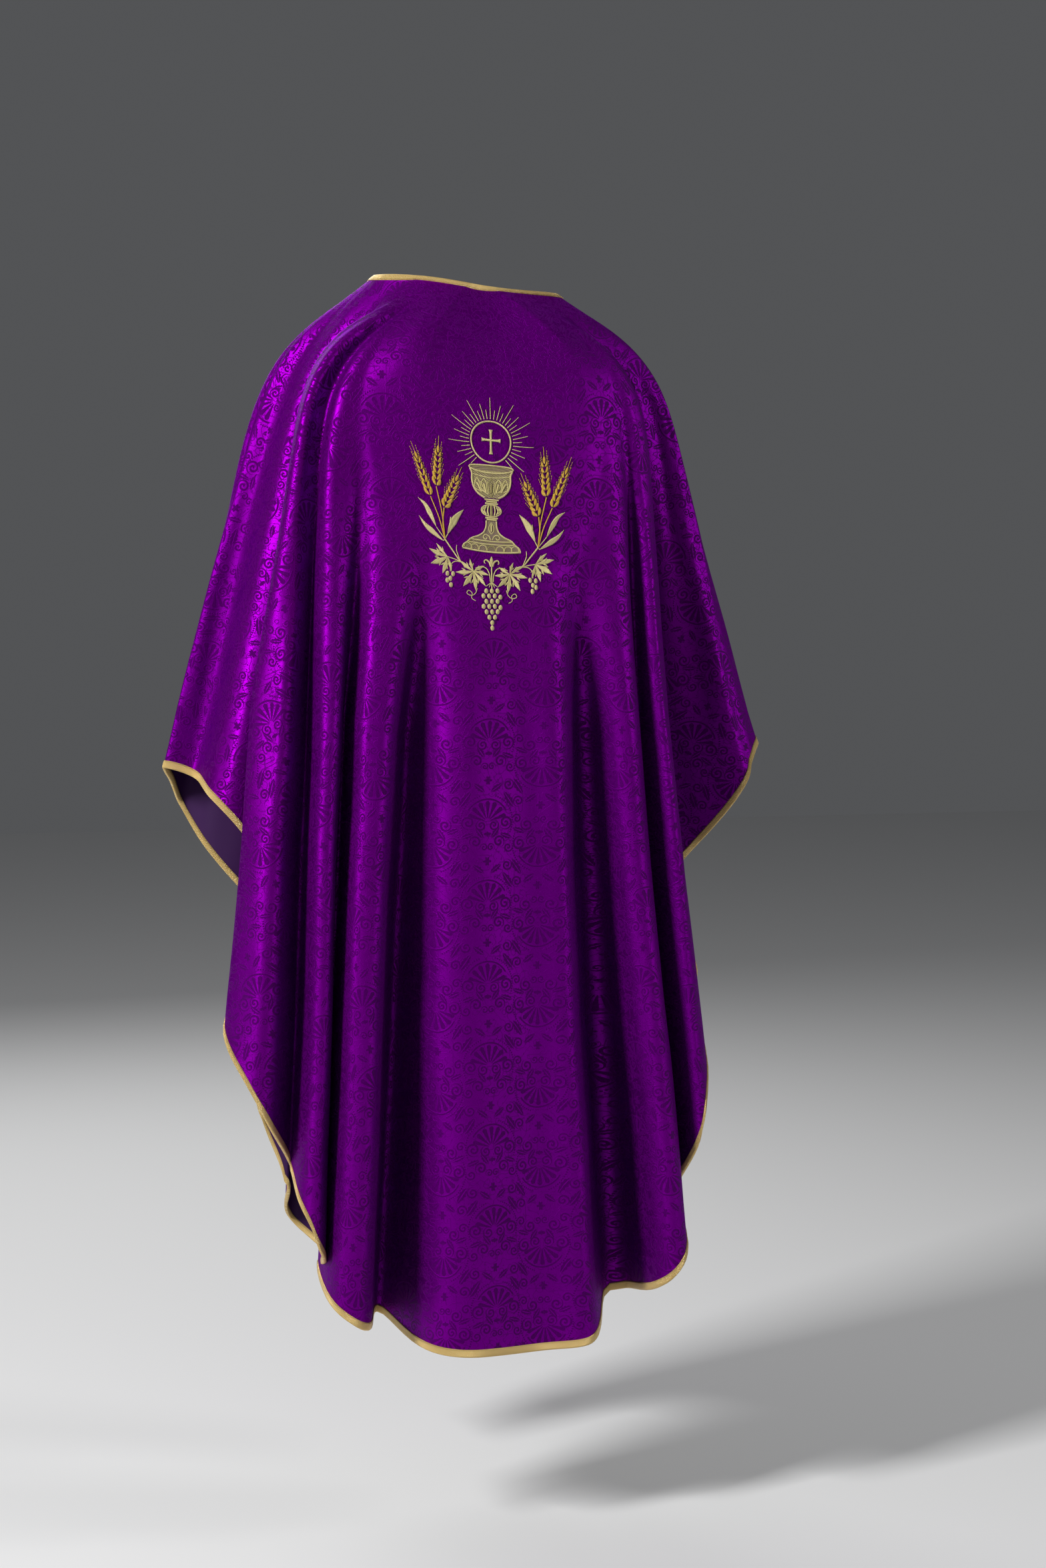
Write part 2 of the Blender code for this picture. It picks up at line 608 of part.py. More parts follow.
def main():
    for obj in list(bpy.data.objects):
        bpy.data.objects.remove(obj, do_unlink=True)
    parts = bpy.data.collections.new("chasuble")
    bpy.context.scene.collection.children.link(parts)
    cloth = panels(parts)
    host(cloth, parts)
    chalice(cloth, parts)
    wheat(-1, "left", cloth, parts)
    wheat(1, "right", cloth, parts)
    vine(cloth, parts)


main()
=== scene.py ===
"""The looks of a gothic chasuble in purple damask, as it hangs on a wearer whose arms are down.

The cloth is draped by the same rule as the CAD's, at a finer step, with the small waves of real cloth
added. Each piece of the CAD is soft, so each is replaced: the panels, linings and bindings by thin
sheets, and the embroidery by raised stitches laid on the back.
"""

import math

import bpy
import numpy as np
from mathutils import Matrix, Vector


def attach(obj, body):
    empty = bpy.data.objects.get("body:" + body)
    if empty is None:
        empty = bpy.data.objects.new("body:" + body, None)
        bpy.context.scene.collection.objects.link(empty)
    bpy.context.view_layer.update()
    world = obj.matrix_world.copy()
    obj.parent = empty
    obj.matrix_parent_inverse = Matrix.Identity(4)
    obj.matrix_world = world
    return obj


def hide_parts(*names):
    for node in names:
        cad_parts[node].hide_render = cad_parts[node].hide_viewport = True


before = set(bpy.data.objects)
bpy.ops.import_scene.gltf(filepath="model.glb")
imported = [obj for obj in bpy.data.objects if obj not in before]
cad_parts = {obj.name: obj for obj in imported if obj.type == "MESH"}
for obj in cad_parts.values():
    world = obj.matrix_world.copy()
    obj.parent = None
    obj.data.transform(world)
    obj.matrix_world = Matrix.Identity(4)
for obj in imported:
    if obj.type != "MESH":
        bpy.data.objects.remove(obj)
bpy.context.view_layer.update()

# The flat pattern, as the CAD has it.
HALF_WIDTH = 0.785
RIGHT_SHORTER = 0.04
BACK_LENGTH = 1.388
FRONT_LENGTH = 1.29
HEM_POWER = 2.7
NECK_HALF_WIDTH = 0.115
NECK_BACK = 0.065
NECK_FRONT = 0.105

# How it hangs, as the CAD has it.
REFERENCE = 0.6
SHOULDER_LENGTH = 0.155
SHOULDER_ROUNDNESS = 0.034
FLATTEST = 0.88
FLARE_BACK = 0.015
FLARE_SIDE = 0.205
FOLD_START = 0.05
PANEL_DELAY = 0.31
PANEL_SPREAD = 23.0
FOLD_GROWTH = 0.38
SPREAD_LEFT = 0.04
SPREAD_RIGHT = 0.22
HULL_SMOOTHING = 15.0
HULL_WIDEN = 1.06
HULL_DEEPEN = 1.12
NECK_RISE = 0.004
NECK_TILT = 0.01
FRONT_DROP = 0.075
FRONT_FLATTER = 0.86
FRONT_SETBACK = 0.012

# Angle on the pattern in degrees, then x and y in plan, for each ridge, valley and turn of the back.
FOLDS = [
    (0, 0.326, -0.02), (8, 0.316, 0.046), (16, 0.28, 0.072), (25, 0.226, 0.05), (32, 0.176, 0.048),
    (37, 0.186, 0.076), (43, 0.238, 0.084), (48.5, 0.284, 0.108), (53.5, 0.27, 0.15),
    (57.5, 0.242, 0.144), (60, 0.222, 0.114), (62.5, 0.22, 0.148), (65.5, 0.206, 0.172),
    (69, 0.186, 0.148), (71, 0.178, 0.12), (73, 0.172, 0.16), (75.5, 0.154, 0.182),
    (78.5, 0.126, 0.166), (81, 0.102, 0.118), (83.5, 0.08, 0.156), (86, 0.055, 0.18),
    (90, 0.008, 0.18), (95, -0.045, 0.174), (100, -0.095, 0.162), (103, -0.12, 0.118),
    (106, -0.14, 0.152), (109, -0.164, 0.172), (112, -0.182, 0.15), (115, -0.188, 0.12),
    (119, -0.202, 0.148), (124, -0.22, 0.144), (129, -0.226, 0.095), (136, -0.176, 0.062),
    (143, -0.202, 0.03), (150, -0.262, 0.032), (158, -0.316, 0.056), (166, -0.345, 0.048),
    (173, -0.358, 0.015),
]

# Layers and trim.
LINING_GAP = 0.0016
HIDDEN_GAP = 0.0008
BACKING_GAP = 0.0012
BINDING_WIDTH = 0.009
BINDING_LIFT = 0.001
SEAM_HALF_WIDTH = 0.007
EMBLEM_CENTRE = 0.225  # centre of the host below the neckline
HOST_RADIUS = 0.0245

STEPS = 240  # rows of cloth from neck to hem
COLUMNS = 720  # columns all the way round
UNWRAP_SKIP = 6  # rows and columns from one to the next in the copy that is unwrapped
EDGE_ROWS = 16  # rows of cloth that a binding may reach over

# Camera, lights and floor.
CAMERA_AZIMUTH = 166.0
CAMERA_ELEVATION = 4.6
CAMERA_DISTANCE = 4.0
CAMERA_TARGET = (-0.068, 0.017, -0.613)
LENS_MM = 73.5
SENSOR_MM = 36.0
FLOOR_HEIGHT = -1.52
FLOOR_REACH = 9.0

GOLD = (0.8, 0.52, 0.14)
PALE_GOLD = (0.96, 0.74, 0.31)
WHEAT_GOLD = (0.9, 0.52, 0.035)
GROUND_PURPLE = (0.172, 0.0, 0.255)
FIGURE_PURPLE = (0.056, 0.0, 0.086)


# The drape: the same rule as the CAD's.


def spline(knots, values, at, period=360.0):
    """A smooth periodic curve through values at the knots, read at the angles in at."""
    count = len(knots)
    gap = np.diff(np.append(knots, knots[0] + period))
    slope = (np.roll(values, -1) - values) / gap
    matrix = np.zeros((count, count))
    right = np.zeros(count)
    for i in range(count):
        matrix[i, i] = 2 * (gap[i - 1] + gap[i])
        matrix[i, i - 1] += gap[i - 1]
        matrix[i, (i + 1) % count] += gap[i]
        right[i] = 6 * (slope[i] - slope[i - 1])
    bend = np.linalg.solve(matrix, right)
    at = (np.asarray(at, float) - knots[0]) % period + knots[0]
    i = np.searchsorted(knots, at, side="right") - 1
    j = (i + 1) % count
    a = at - knots[i]
    linear = slope[i] - gap[i] * (2 * bend[i] + bend[j]) / 6
    return values[i] + a * (linear + a * (bend[i] / 2 + a * (bend[j] - bend[i]) / (6 * gap[i])))


def fold_loop():
    front = [(t + 180, -x, -y * FRONT_FLATTER - FRONT_SETBACK) for t, x, y in FOLDS]
    return np.array(FOLDS + front, float).T


def neck_radius(angle):
    depth = np.where(np.sin(angle) >= 0, NECK_BACK, NECK_FRONT)
    return 1 / np.hypot(np.cos(angle) / NECK_HALF_WIDTH, np.sin(angle) / depth)


def hem_radius(angle):
    length = np.where(np.sin(angle) >= 0, BACK_LENGTH, FRONT_LENGTH)
    half_width = HALF_WIDTH - np.where(np.cos(angle) < 0, RIGHT_SHORTER, 0)
    across = np.abs(np.cos(angle)) / half_width
    down = np.abs(np.sin(angle)) / length
    return (across**HEM_POWER + down**HEM_POWER) ** (-1 / HEM_POWER)


def hull_plan(degrees):
    """The folded plan curve smoothed to the round outline that the shoulders give it."""
    knots, x, y = fold_loop()
    fine = np.arange(0, 360, 0.5)
    reach = np.arange(-90, 90.1, 0.5)
    weight = np.exp(-0.5 * (reach / HULL_SMOOTHING) ** 2)
    weight /= weight.sum()
    smoothed = []
    for values, factor in ((x, HULL_WIDEN), (y, HULL_DEEPEN)):
        curve = spline(knots, values, fine)
        wrapped = np.concatenate([curve[-180:], curve, curve[:180]])
        smooth = np.convolve(wrapped, weight, mode="valid") * factor
        smoothed.append(np.interp(degrees % 360, np.append(fine, 360), np.append(smooth, smooth[0])))
    return smoothed


def turn_down(s, shoulder):
    """The integral of a step that falls from 1 to 0 where the cloth leaves the shoulder."""
    late = np.log(1 + np.exp((s - shoulder) / SHOULDER_ROUNDNESS))
    start = np.log(1 + np.exp(-shoulder / SHOULDER_ROUNDNESS))
    return s - SHOULDER_ROUNDNESS * (late - start)


def drape(degrees, steps):
    """Points of the outer cloth (steps + 1, angles, 3) from neck to hem, and the run at each."""
    degrees = np.asarray(degrees, float)
    angle = np.radians(degrees)
    knots, x, y = fold_loop()
    fold_x, fold_y = spline(knots, x, degrees), spline(knots, y, degrees)
    hull_x, hull_y = hull_plan(degrees)
    start = neck_radius(angle)
    length = hem_radius(angle) - start
    neck_x, neck_y = start * np.cos(angle), start * np.sin(angle)
    reach = np.hypot(hull_x - neck_x, hull_y - neck_y)
    toward_x, toward_y = (hull_x - neck_x) / reach, (hull_y - neck_y) / reach
    flare = FLARE_BACK + FLARE_SIDE * np.abs(np.cos(angle)) ** 3.6
    shoulder = np.maximum(SHOULDER_LENGTH, (reach - flare * REFERENCE) / (FLATTEST - flare))
    slope = (reach - flare * REFERENCE) / turn_down(REFERENCE, shoulder)
    s = np.linspace(0, 1, steps + 1)[:, None] * length
    out = flare * s + slope * turn_down(s, shoulder)
    off_centre = np.minimum(np.abs(degrees % 180 - 90), 90)
    begin = FOLD_START + PANEL_DELAY * np.exp(-((off_centre / PANEL_SPREAD) ** 6))
    fold = np.clip((s - begin) / (REFERENCE - begin), 0, None)
    fold = np.where(fold < 1, fold**1.15, 1 + FOLD_GROWTH * (fold - 1))
    px = neck_x + toward_x * out + (fold_x - hull_x) * fold
    spread = np.where(np.cos(angle) > 0, SPREAD_LEFT, SPREAD_RIGHT)
    px = px * (1 + spread * np.clip(s - REFERENCE, 0, None))
    py = neck_y + toward_y * out + (fold_y - hull_y) * fold
    step = length / steps
    sideways = np.hypot(np.diff(px, axis=0), np.diff(py, axis=0)) / step
    drop = np.sqrt(np.clip(1 - sideways**2, 0.02, 1)) * step
    front = np.sin(angle) < 0
    neck_z = NECK_RISE * np.cos(angle) ** 2 + NECK_TILT * np.cos(angle)
    neck_z = neck_z - np.where(front, FRONT_DROP * np.sin(angle) ** 2, 0)
    pz = neck_z - np.concatenate([np.zeros((1, len(degrees))), np.cumsum(drop, axis=0)])
    return np.stack([px, py, pz], axis=-1), s


def along_line(at, runs, points):
    """The points at the runs in at, on a line of points whose own runs are given."""
    return np.stack([np.interp(at, runs, values) for values in points.T], axis=-1)


def lengths_along(points):
    """How far each point is from the first, along the line."""
    return np.append(0, np.cumsum(np.linalg.norm(np.diff(points, axis=0), axis=1)))


def normals_of(grid):
    """Outward normals of a grid that closes on itself sideways."""
    across = np.roll(grid, -1, axis=1) - np.roll(grid, 1, axis=1)
    down = np.gradient(grid, axis=0)
    normal = np.cross(down, across)
    return normal / np.linalg.norm(normal, axis=-1, keepdims=True)


# Creases that run down from the shoulders: angle at the neck, degrees of drift for each metre, width in
# degrees, where it starts and ends along the cloth, and height.
CREASES = (
    (66.0, -9.0, 2.2, 0.07, 0.62, 0.0042), (57.0, -10.0, 2.0, 0.05, 0.78, 0.005),
    (48.0, -9.0, 2.3, 0.04, 0.7, 0.005), (39.0, -7.0, 2.1, 0.05, 0.6, 0.004),
    (29.0, -5.0, 2.5, 0.06, 0.72, 0.0045), (17.0, -3.0, 2.2, 0.08, 0.58, 0.0035),
    (115.0, 8.0, 2.2, 0.08, 0.66, 0.0036), (125.0, 9.0, 2.4, 0.06, 0.74, 0.0044),
    (136.0, 8.0, 2.1, 0.05, 0.6, 0.0044), (148.0, 5.0, 2.5, 0.06, 0.7, 0.004),
    (162.0, 3.0, 2.2, 0.08, 0.56, 0.0034), (205.0, 4.0, 2.4, 0.08, 0.62, 0.0036),
    (222.0, 7.0, 2.2, 0.07, 0.7, 0.004), (238.0, 9.0, 2.3, 0.08, 0.64, 0.0038),
    (303.0, -9.0, 2.3, 0.08, 0.66, 0.0038), (318.0, -7.0, 2.2, 0.07, 0.72, 0.004),
    (335.0, -4.0, 2.4, 0.08, 0.6, 0.0036),
)
PANEL_TURN = 0.013  # how far the right half of the back's middle turns away, below the embroidery


def small_waves(degrees, s):
    """How far the cloth stands off its main folds: long soft waves that run down it, and fade out on
    the embroidered part."""
    degrees = np.asarray(degrees, float)[None, :]
    angle = np.radians(degrees)
    rng = np.random.default_rng(7)
    wave = np.zeros(s.shape)
    for period, tall, height in ((18.0, 1.3, 0.0022), (9.0, 0.7, 0.0012), (5.0, 0.35, 0.0004)):
        for _ in range(6):
            count = round(360 / period * rng.uniform(0.7, 1.3))
            wander = rng.uniform(0.8, 2.0) * np.sin(2 * math.pi * (s / tall + rng.uniform(0, 1)))
            fade = 0.5 + 0.5 * np.sin(2 * math.pi * s / tall * rng.uniform(0.5, 1) + 3 * np.sin(angle * 2))
            wave += height * 0.6 * fade * np.sin(count * angle + wander + rng.uniform(0, 2 * math.pi))
    for start, drift, width, top, end, height in CREASES:
        aside = (degrees - start - drift * s) / width
        reach = np.clip((s - top) / 0.1, 0, 1) * np.clip((end - s) / 0.3, 0, 1)
        wave += height * reach * (np.exp(-aside**2) - 0.6 * np.exp(-((aside - 1.7) ** 2)))
    turned = np.interp(degrees, (90.5, 94, 100, 103, 107), (0, 0.3, 1, 1, 0))
    wave -= PANEL_TURN * turned * np.clip((s - 0.42) / 0.3, 0, 1)
    radius = neck_radius(angle) + s
    x, y = radius * np.cos(angle), radius * np.sin(angle)
    emblem = np.exp(-((x / 0.15) ** 6) - (((y - EMBLEM_CENTRE - NECK_BACK - 0.09) / 0.2) ** 6))
    from_neck = np.clip(s / 0.25, 0, 1)
    return wave * (1 - 0.97 * emblem) * from_neck**2 * (3 - 2 * from_neck)


# Shader arithmetic.


class Field:
    """A number that varies over a surface. Arithmetic on it adds Math nodes to the material."""

    def __init__(self, tree, socket):
        self.tree = tree
        self.socket = socket

    def math(self, operation, *others, first=None):
        node = self.tree.nodes.new("ShaderNodeMath")
        node.operation = operation
        values = (self, *others) if first is None else (first, self)
        for place, value in enumerate(values):
            if isinstance(value, Field):
                self.tree.links.new(value.socket, node.inputs[place])
            else:
                node.inputs[place].default_value = value
        return Field(self.tree, node.outputs[0])

    def __add__(self, other):
        return self.math("ADD", other)

    def __sub__(self, other):
        return self.math("SUBTRACT", other)

    def __rsub__(self, other):
        return self.math("SUBTRACT", first=other)

    def __mul__(self, other):
        return self.math("MULTIPLY", other)

    __radd__ = __add__
    __rmul__ = __mul__

    def __truediv__(self, other):
        return self.math("DIVIDE", other)

    def __abs__(self):
        return self.math("ABSOLUTE")

    def hypot(self, other):
        return (self * self + other * other).math("SQRT")

    def over(self, level, blur):
        """1 above the level and 0 below it, with a soft step as wide as blur."""
        node = self.tree.nodes.new("ShaderNodeMapRange")
        node.interpolation_type = "SMOOTHSTEP"
        self.tree.links.new(self.socket, node.inputs["Value"])
        node.inputs["From Min"].default_value = level - blur / 2
        node.inputs["From Max"].default_value = level + blur / 2
        return Field(self.tree, node.outputs["Result"])

    def under(self, level, blur):
        return 1 - self.over(level, blur)

    def most(self, other):
        return self.math("MAXIMUM", other)


def ripple(value, length):
    """A wave between -1 and 1 that repeats after a length."""
    return (value * (2 * math.pi / length)).math("SINE")


def shade(color, factor):
    return tuple(min(1.0, c * factor) for c in color)


class Look:
    """A Principled material and the few nodes that every cloth here needs."""

    def __init__(self, name):
        self.material = bpy.data.materials.new(name)
        self.material.use_nodes = True
        self.tree = self.material.node_tree
        self.shader = self.tree.nodes["Principled BSDF"]

    def cloth_place(self):
        coords = self.tree.nodes.new("ShaderNodeUVMap")
        coords.uv_map = "cloth"
        return coords.outputs["UV"]

    def uv(self):
        split = self.tree.nodes.new("ShaderNodeSeparateXYZ")
        self.tree.links.new(self.cloth_place(), split.inputs["Vector"])
        return Field(self.tree, split.outputs["X"]), Field(self.tree, split.outputs["Y"])

    def noise(self, scale, detail=2.0, stretch=(1.0, 1.0, 1.0)):
        """Noise on the cloth's own metres, so that it moves with the cloth."""
        mapping = self.tree.nodes.new("ShaderNodeMapping")
        mapping.inputs["Scale"].default_value = stretch
        self.tree.links.new(self.cloth_place(), mapping.inputs["Vector"])
        node = self.tree.nodes.new("ShaderNodeTexNoise")
        node.inputs["Scale"].default_value = scale
        node.inputs["Detail"].default_value = detail
        self.tree.links.new(mapping.outputs["Vector"], node.inputs["Vector"])
        return Field(self.tree, node.outputs[0])

    def mix(self, share, low, high):
        """A colour between two others."""
        node = self.tree.nodes.new("ShaderNodeMix")
        node.data_type = "RGBA"
        self.tree.links.new(share.socket, node.inputs["Factor"])
        for place, color in ((6, low), (7, high)):
            if isinstance(color, bpy.types.NodeSocket):
                self.tree.links.new(color, node.inputs[place])
            else:
                node.inputs[place].default_value = (*color, 1.0)
        return node.outputs[2]

    def bump(self, height, distance, strength=1.0):
        node = self.tree.nodes.new("ShaderNodeBump")
        node.inputs["Distance"].default_value = distance
        node.inputs["Strength"].default_value = strength
        self.tree.links.new(height.socket, node.inputs["Height"])
        self.tree.links.new(node.outputs["Normal"], self.shader.inputs["Normal"])

    def drive(self, name, value):
        self.tree.links.new(value.socket if isinstance(value, Field) else value, self.shader.inputs[name])

    def fixed(self, **values):
        for name, value in values.items():
            self.shader.inputs[name.replace("_", " ")].default_value = value


# The damask's figure: shell palmettes between scrolls, with leaves and dots, on a half drop.

REPEAT_WIDTH = 0.066
REPEAT_HEIGHT = 0.098
SHELL_APEX = 0.01
EDGE_BLUR = 0.0007
# Place, radius, turns and hand of each scroll; and place, lean, length and width of each leaf.
SCROLLS = (
    ((0.0082, SHELL_APEX + 0.0045), 0.0068, 1.6, 1), ((0.0235, SHELL_APEX + 0.0015), 0.0085, 1.7, -1),
    ((0.015, 0.0345), 0.0075, 1.5, -1), ((0.0262, -0.035), 0.007, 1.6, 1),
    ((0.0275, 0.0415), 0.0062, 1.5, 1), ((0.0045, 0.041), 0.0048, 1.4, -1),
)
LEAVES = (
    ((0.0275, -0.0165), 0.95, 0.0125, 0.004), ((0.01, 0.0235), 2.2, 0.0085, 0.003),
    ((0.0245, 0.0275), 0.35, 0.009, 0.003), ((0.011, -0.031), 2.5, 0.009, 0.0032),
)


def scroll(x, y, place, radius, turns, hand):
    """A coiled stroke about a point."""
    dx, dy = x - place[0], y - place[1]
    distance = dx.hypot(dy)
    turn = dy.math("ARCTAN2", dx) * (hand / (2 * math.pi))
    phase = (turn + distance * (turns / radius)).math("FRACT")
    stroke = abs(phase - 0.5).under(0.24, 0.1)
    return stroke * distance.under(radius, EDGE_BLUR)


def rosette(x, y, place, radius, petals):
    dx, dy = x - place[0], y - place[1]
    wave = (dy.math("ARCTAN2", dx) * petals).math("COSINE")
    return (dx.hypot(dy) - wave * (radius * 0.28)).under(radius * 0.8, EDGE_BLUR)


def leaf_figure(x, y, place, lean, long, wide):
    """A leaf with a toothed edge and a bare midrib."""
    c, s = math.cos(lean), math.sin(lean)
    dx, dy = x - place[0], y - place[1]
    along = dx * c + dy * s
    aside = dy * c - dx * s
    teeth = ripple(along, long * 0.42) * 0.16 + 1.0
    share = along / long
    width = (1.0 - share * share) * teeth * wide
    body = (width - abs(aside)).over(0.0, EDGE_BLUR)
    rib = (abs(aside) + abs(share) * 0.0004).over(0.0006, 0.0004)
    return body * rib


def damask_figure(across, down):
    """1 on the woven figure and 0 on the satin ground."""
    column = (across / REPEAT_WIDTH + 0.5).math("FLOOR")
    x = abs(across - column * REPEAT_WIDTH)
    odd = (column * 0.5).math("FRACT") * 2.0
    dropped = down + odd * (REPEAT_HEIGHT / 2)
    row = (dropped / REPEAT_HEIGHT + 0.5).math("FLOOR")
    y = (dropped - row * REPEAT_HEIGHT) * (1.0 - odd * 2.0)
    below = SHELL_APEX - y
    distance = x.hypot(below)
    angle = x.math("ARCTAN2", below)
    ray = (angle * 15.0).math("COSINE")
    petals = (ray - (0.022 - distance) * 26.0).over(-0.35, 0.25)
    reach = (distance - ray * 0.0016).under(0.0235, EDGE_BLUR)
    shell = petals * reach * distance.over(0.004, EDGE_BLUR) * angle.under(1.35, 0.08)
    border = abs(distance - 0.0272).under(0.001, EDGE_BLUR) * angle.under(1.05, 0.05)
    figure = shell.most(border)
    for place, radius, turns, hand in SCROLLS:
        figure = figure.most(scroll(x, y, place, radius, turns, hand))
    for place, lean, long, wide in LEAVES:
        figure = figure.most(leaf_figure(x, y, place, lean, long, wide))
    figure = figure.most(rosette(x, y, (0.0, SHELL_APEX + 0.015), 0.0042, 3))
    figure = figure.most(rosette(x, y, (0.0, -0.04), 0.005, 5))
    bead_angle = (angle * (34.0 / math.pi)).math("FRACT") - 0.5
    beads = (bead_angle * 0.0032).hypot(distance - 0.0325).under(0.001, EDGE_BLUR)
    figure = figure.most(beads * angle.under(2.0, 0.05) * angle.over(0.3, 0.05))
    return figure


def damask():
    look = Look("purple_damask")
    across, down = look.uv()
    figure = damask_figure(across, down)
    curls = abs(look.noise(110.0, 0.0) - 0.5).under(0.024, 0.014)
    buds = look.noise(230.0, 1.0).over(0.66, 0.03)
    figure = figure.most(curls.most(buds) * 0.55)
    mottle = look.noise(14.0, 3.0)
    grain = look.noise(900.0, 2.0, (1.0, 0.35, 1.0))
    ground = look.mix(mottle, shade(GROUND_PURPLE, 0.88), shade(GROUND_PURPLE, 1.15))
    drawn = look.mix(mottle, shade(FIGURE_PURPLE, 0.9), shade(FIGURE_PURPLE, 1.12))
    color = look.mix(figure, ground, drawn)
    look.drive("Base Color", look.mix(grain.over(0.58, 0.3) * 0.18, color, (0.2, 0.005, 0.28)))
    look.drive("Metallic", 0.88 - figure * 0.72)
    look.drive("Roughness", figure * 0.2 + grain * 0.1 + 0.4)
    look.drive("Sheen Weight", figure * 0.08 + 0.02)
    look.fixed(Sheen_Roughness=0.4, Sheen_Tint=(0.45, 0.0, 0.8, 1.0), Specular_Tint=(0.6, 0.0, 0.9, 1.0))
    look.fixed(Specular_IOR_Level=0.25)
    twill = ripple(across + down, 0.00075)
    weft = ripple(down, 0.0006)
    look.bump(figure * 0.9 + twill * 0.1 + weft * figure * 0.14 + grain * 0.25, 0.00022)
    return look.material


def lining():
    look = Look("violet_lining")
    across, down = look.uv()
    mottle = look.noise(9.0, 3.0)
    grain = look.noise(700.0, 2.0)
    patches = mottle * 0.7 + grain * 0.3
    look.drive("Base Color", look.mix(patches, (0.017, 0.0005, 0.034), (0.032, 0.001, 0.058)))
    look.drive("Roughness", grain * 0.14 + 0.55)
    look.fixed(Sheen_Weight=0.06, Sheen_Roughness=0.5, Sheen_Tint=(0.4, 0.1, 0.8, 1.0))
    look.fixed(Specular_IOR_Level=0.2)
    warp = ripple(across, 0.0008)
    weft = ripple(down, 0.0008)
    look.bump(warp * weft * 0.5 + grain * 0.4, 0.0001)
    return look.material


def gold_band():
    """Woven metallic band: fine slanting cells with bright flecks, and a row of stitches at its edge."""
    look = Look("gold_binding")
    along, aside = look.uv()
    cell = 0.0016
    left = ((along + aside) * (math.pi / cell)).math("SINE")
    right = ((along - aside) * (math.pi / cell)).math("SINE")
    weave = abs(left * right)
    fleck = look.noise(1500.0, 2.0)
    patch = look.noise(160.0, 2.0)
    bright = look.mix(fleck.over(0.56, 0.12), GOLD, (1.0, 0.86, 0.48))
    tone = look.mix(weave.under(0.2, 0.25) * 0.75, bright, (0.3, 0.17, 0.04))
    stitch = (along / 0.0026).math("FRACT").under(0.66, 0.1) * abs(aside - 0.0013).under(0.00035, 0.0002)
    look.drive("Base Color", look.mix(stitch * 0.8, tone, (0.5, 0.36, 0.12)))
    look.drive("Metallic", 0.25 + fleck * 0.35)
    look.drive("Roughness", 0.22 + patch * 0.25)
    look.fixed(Specular_IOR_Level=0.6)
    look.bump(weave * 0.9 + fleck * 0.6 - stitch * 1.3, 0.0005)
    return look.material


def thread(name, color, groove_shade):
    """Satin stitch: threads side by side, in their own colour on their crowns, with painted shade in the
    grooves between them.
    """
    look = Look(name)
    along, aside = look.uv()
    wander = look.noise(240.0, 2.0)
    strand = ripple(along + aside * 0.35 + wander * 0.0005, 0.00062)
    twist = ripple(along * 0.5 - aside, 0.001)
    patch = look.noise(90.0, 2.0)
    lit = look.mix(patch, shade(color, 0.82), shade(color, 1.25))
    # Painted shade: where the strand wave is low, in the grooves between the threads, the colour goes to the
    # last, darker colour.
    look.drive("Base Color", look.mix(strand.under(-0.45, 0.6) * 0.7, lit, groove_shade))
    look.drive("Roughness", patch * 0.15 + 0.28)
    look.fixed(Metallic=0.15, Sheen_Weight=0.2, Sheen_Roughness=0.4, Specular_IOR_Level=0.7)
    look.bump(strand * 0.8 + twist * 0.25, 0.00022)
    return look.material


def backing_cloth():
    look = Look("white_backing")
    fibre = look.noise(420.0, 4.0)
    look.drive("Base Color", look.mix(fibre, (0.55, 0.55, 0.52), (0.82, 0.82, 0.8)))
    look.drive("Roughness", fibre * 0.1 + 0.85)
    look.bump(fibre, 0.0003)
    return look.material


# Cloth.


def sheet_mesh(name, grid, uv, look, flip=False):
    """A grid of points as one smooth open sheet, with its UVs in metres."""
    rows, count = grid.shape[:2]
    index = np.arange(rows * count).reshape(rows, count)
    a, b = index[:-1, :-1].ravel(), index[:-1, 1:].ravel()
    d, e = index[1:, :-1].ravel(), index[1:, 1:].ravel()
    faces = np.stack([a, d, e, b] if not flip else [a, b, e, d], axis=1)
    return mesh_object(name, grid.reshape(-1, 3), faces.tolist(), uv.reshape(-1, 2), look)


def linked(name, data):
    made = bpy.data.objects.new(name, data)
    bpy.context.scene.collection.objects.link(made)
    return made


def vertex_of_corners(mesh):
    corners = np.empty(len(mesh.loops), np.int32)
    mesh.loops.foreach_get("vertex_index", corners)
    return corners


def mesh_object(name, points, faces, uv, look):
    mesh = bpy.data.meshes.new(name)
    mesh.from_pydata(np.asarray(points, float).tolist(), [], faces)
    mesh.update()
    layer = mesh.uv_layers.new(name="cloth")
    layer.data.foreach_set("uv", np.asarray(uv, np.float32)[vertex_of_corners(mesh)].ravel())
    mesh.shade_smooth()
    mesh.materials.append(look)
    return linked(name, mesh)


def finish_piece(made, slot, *nodes):
    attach(made, "root")
    if nodes:
        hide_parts(*nodes)
    return made


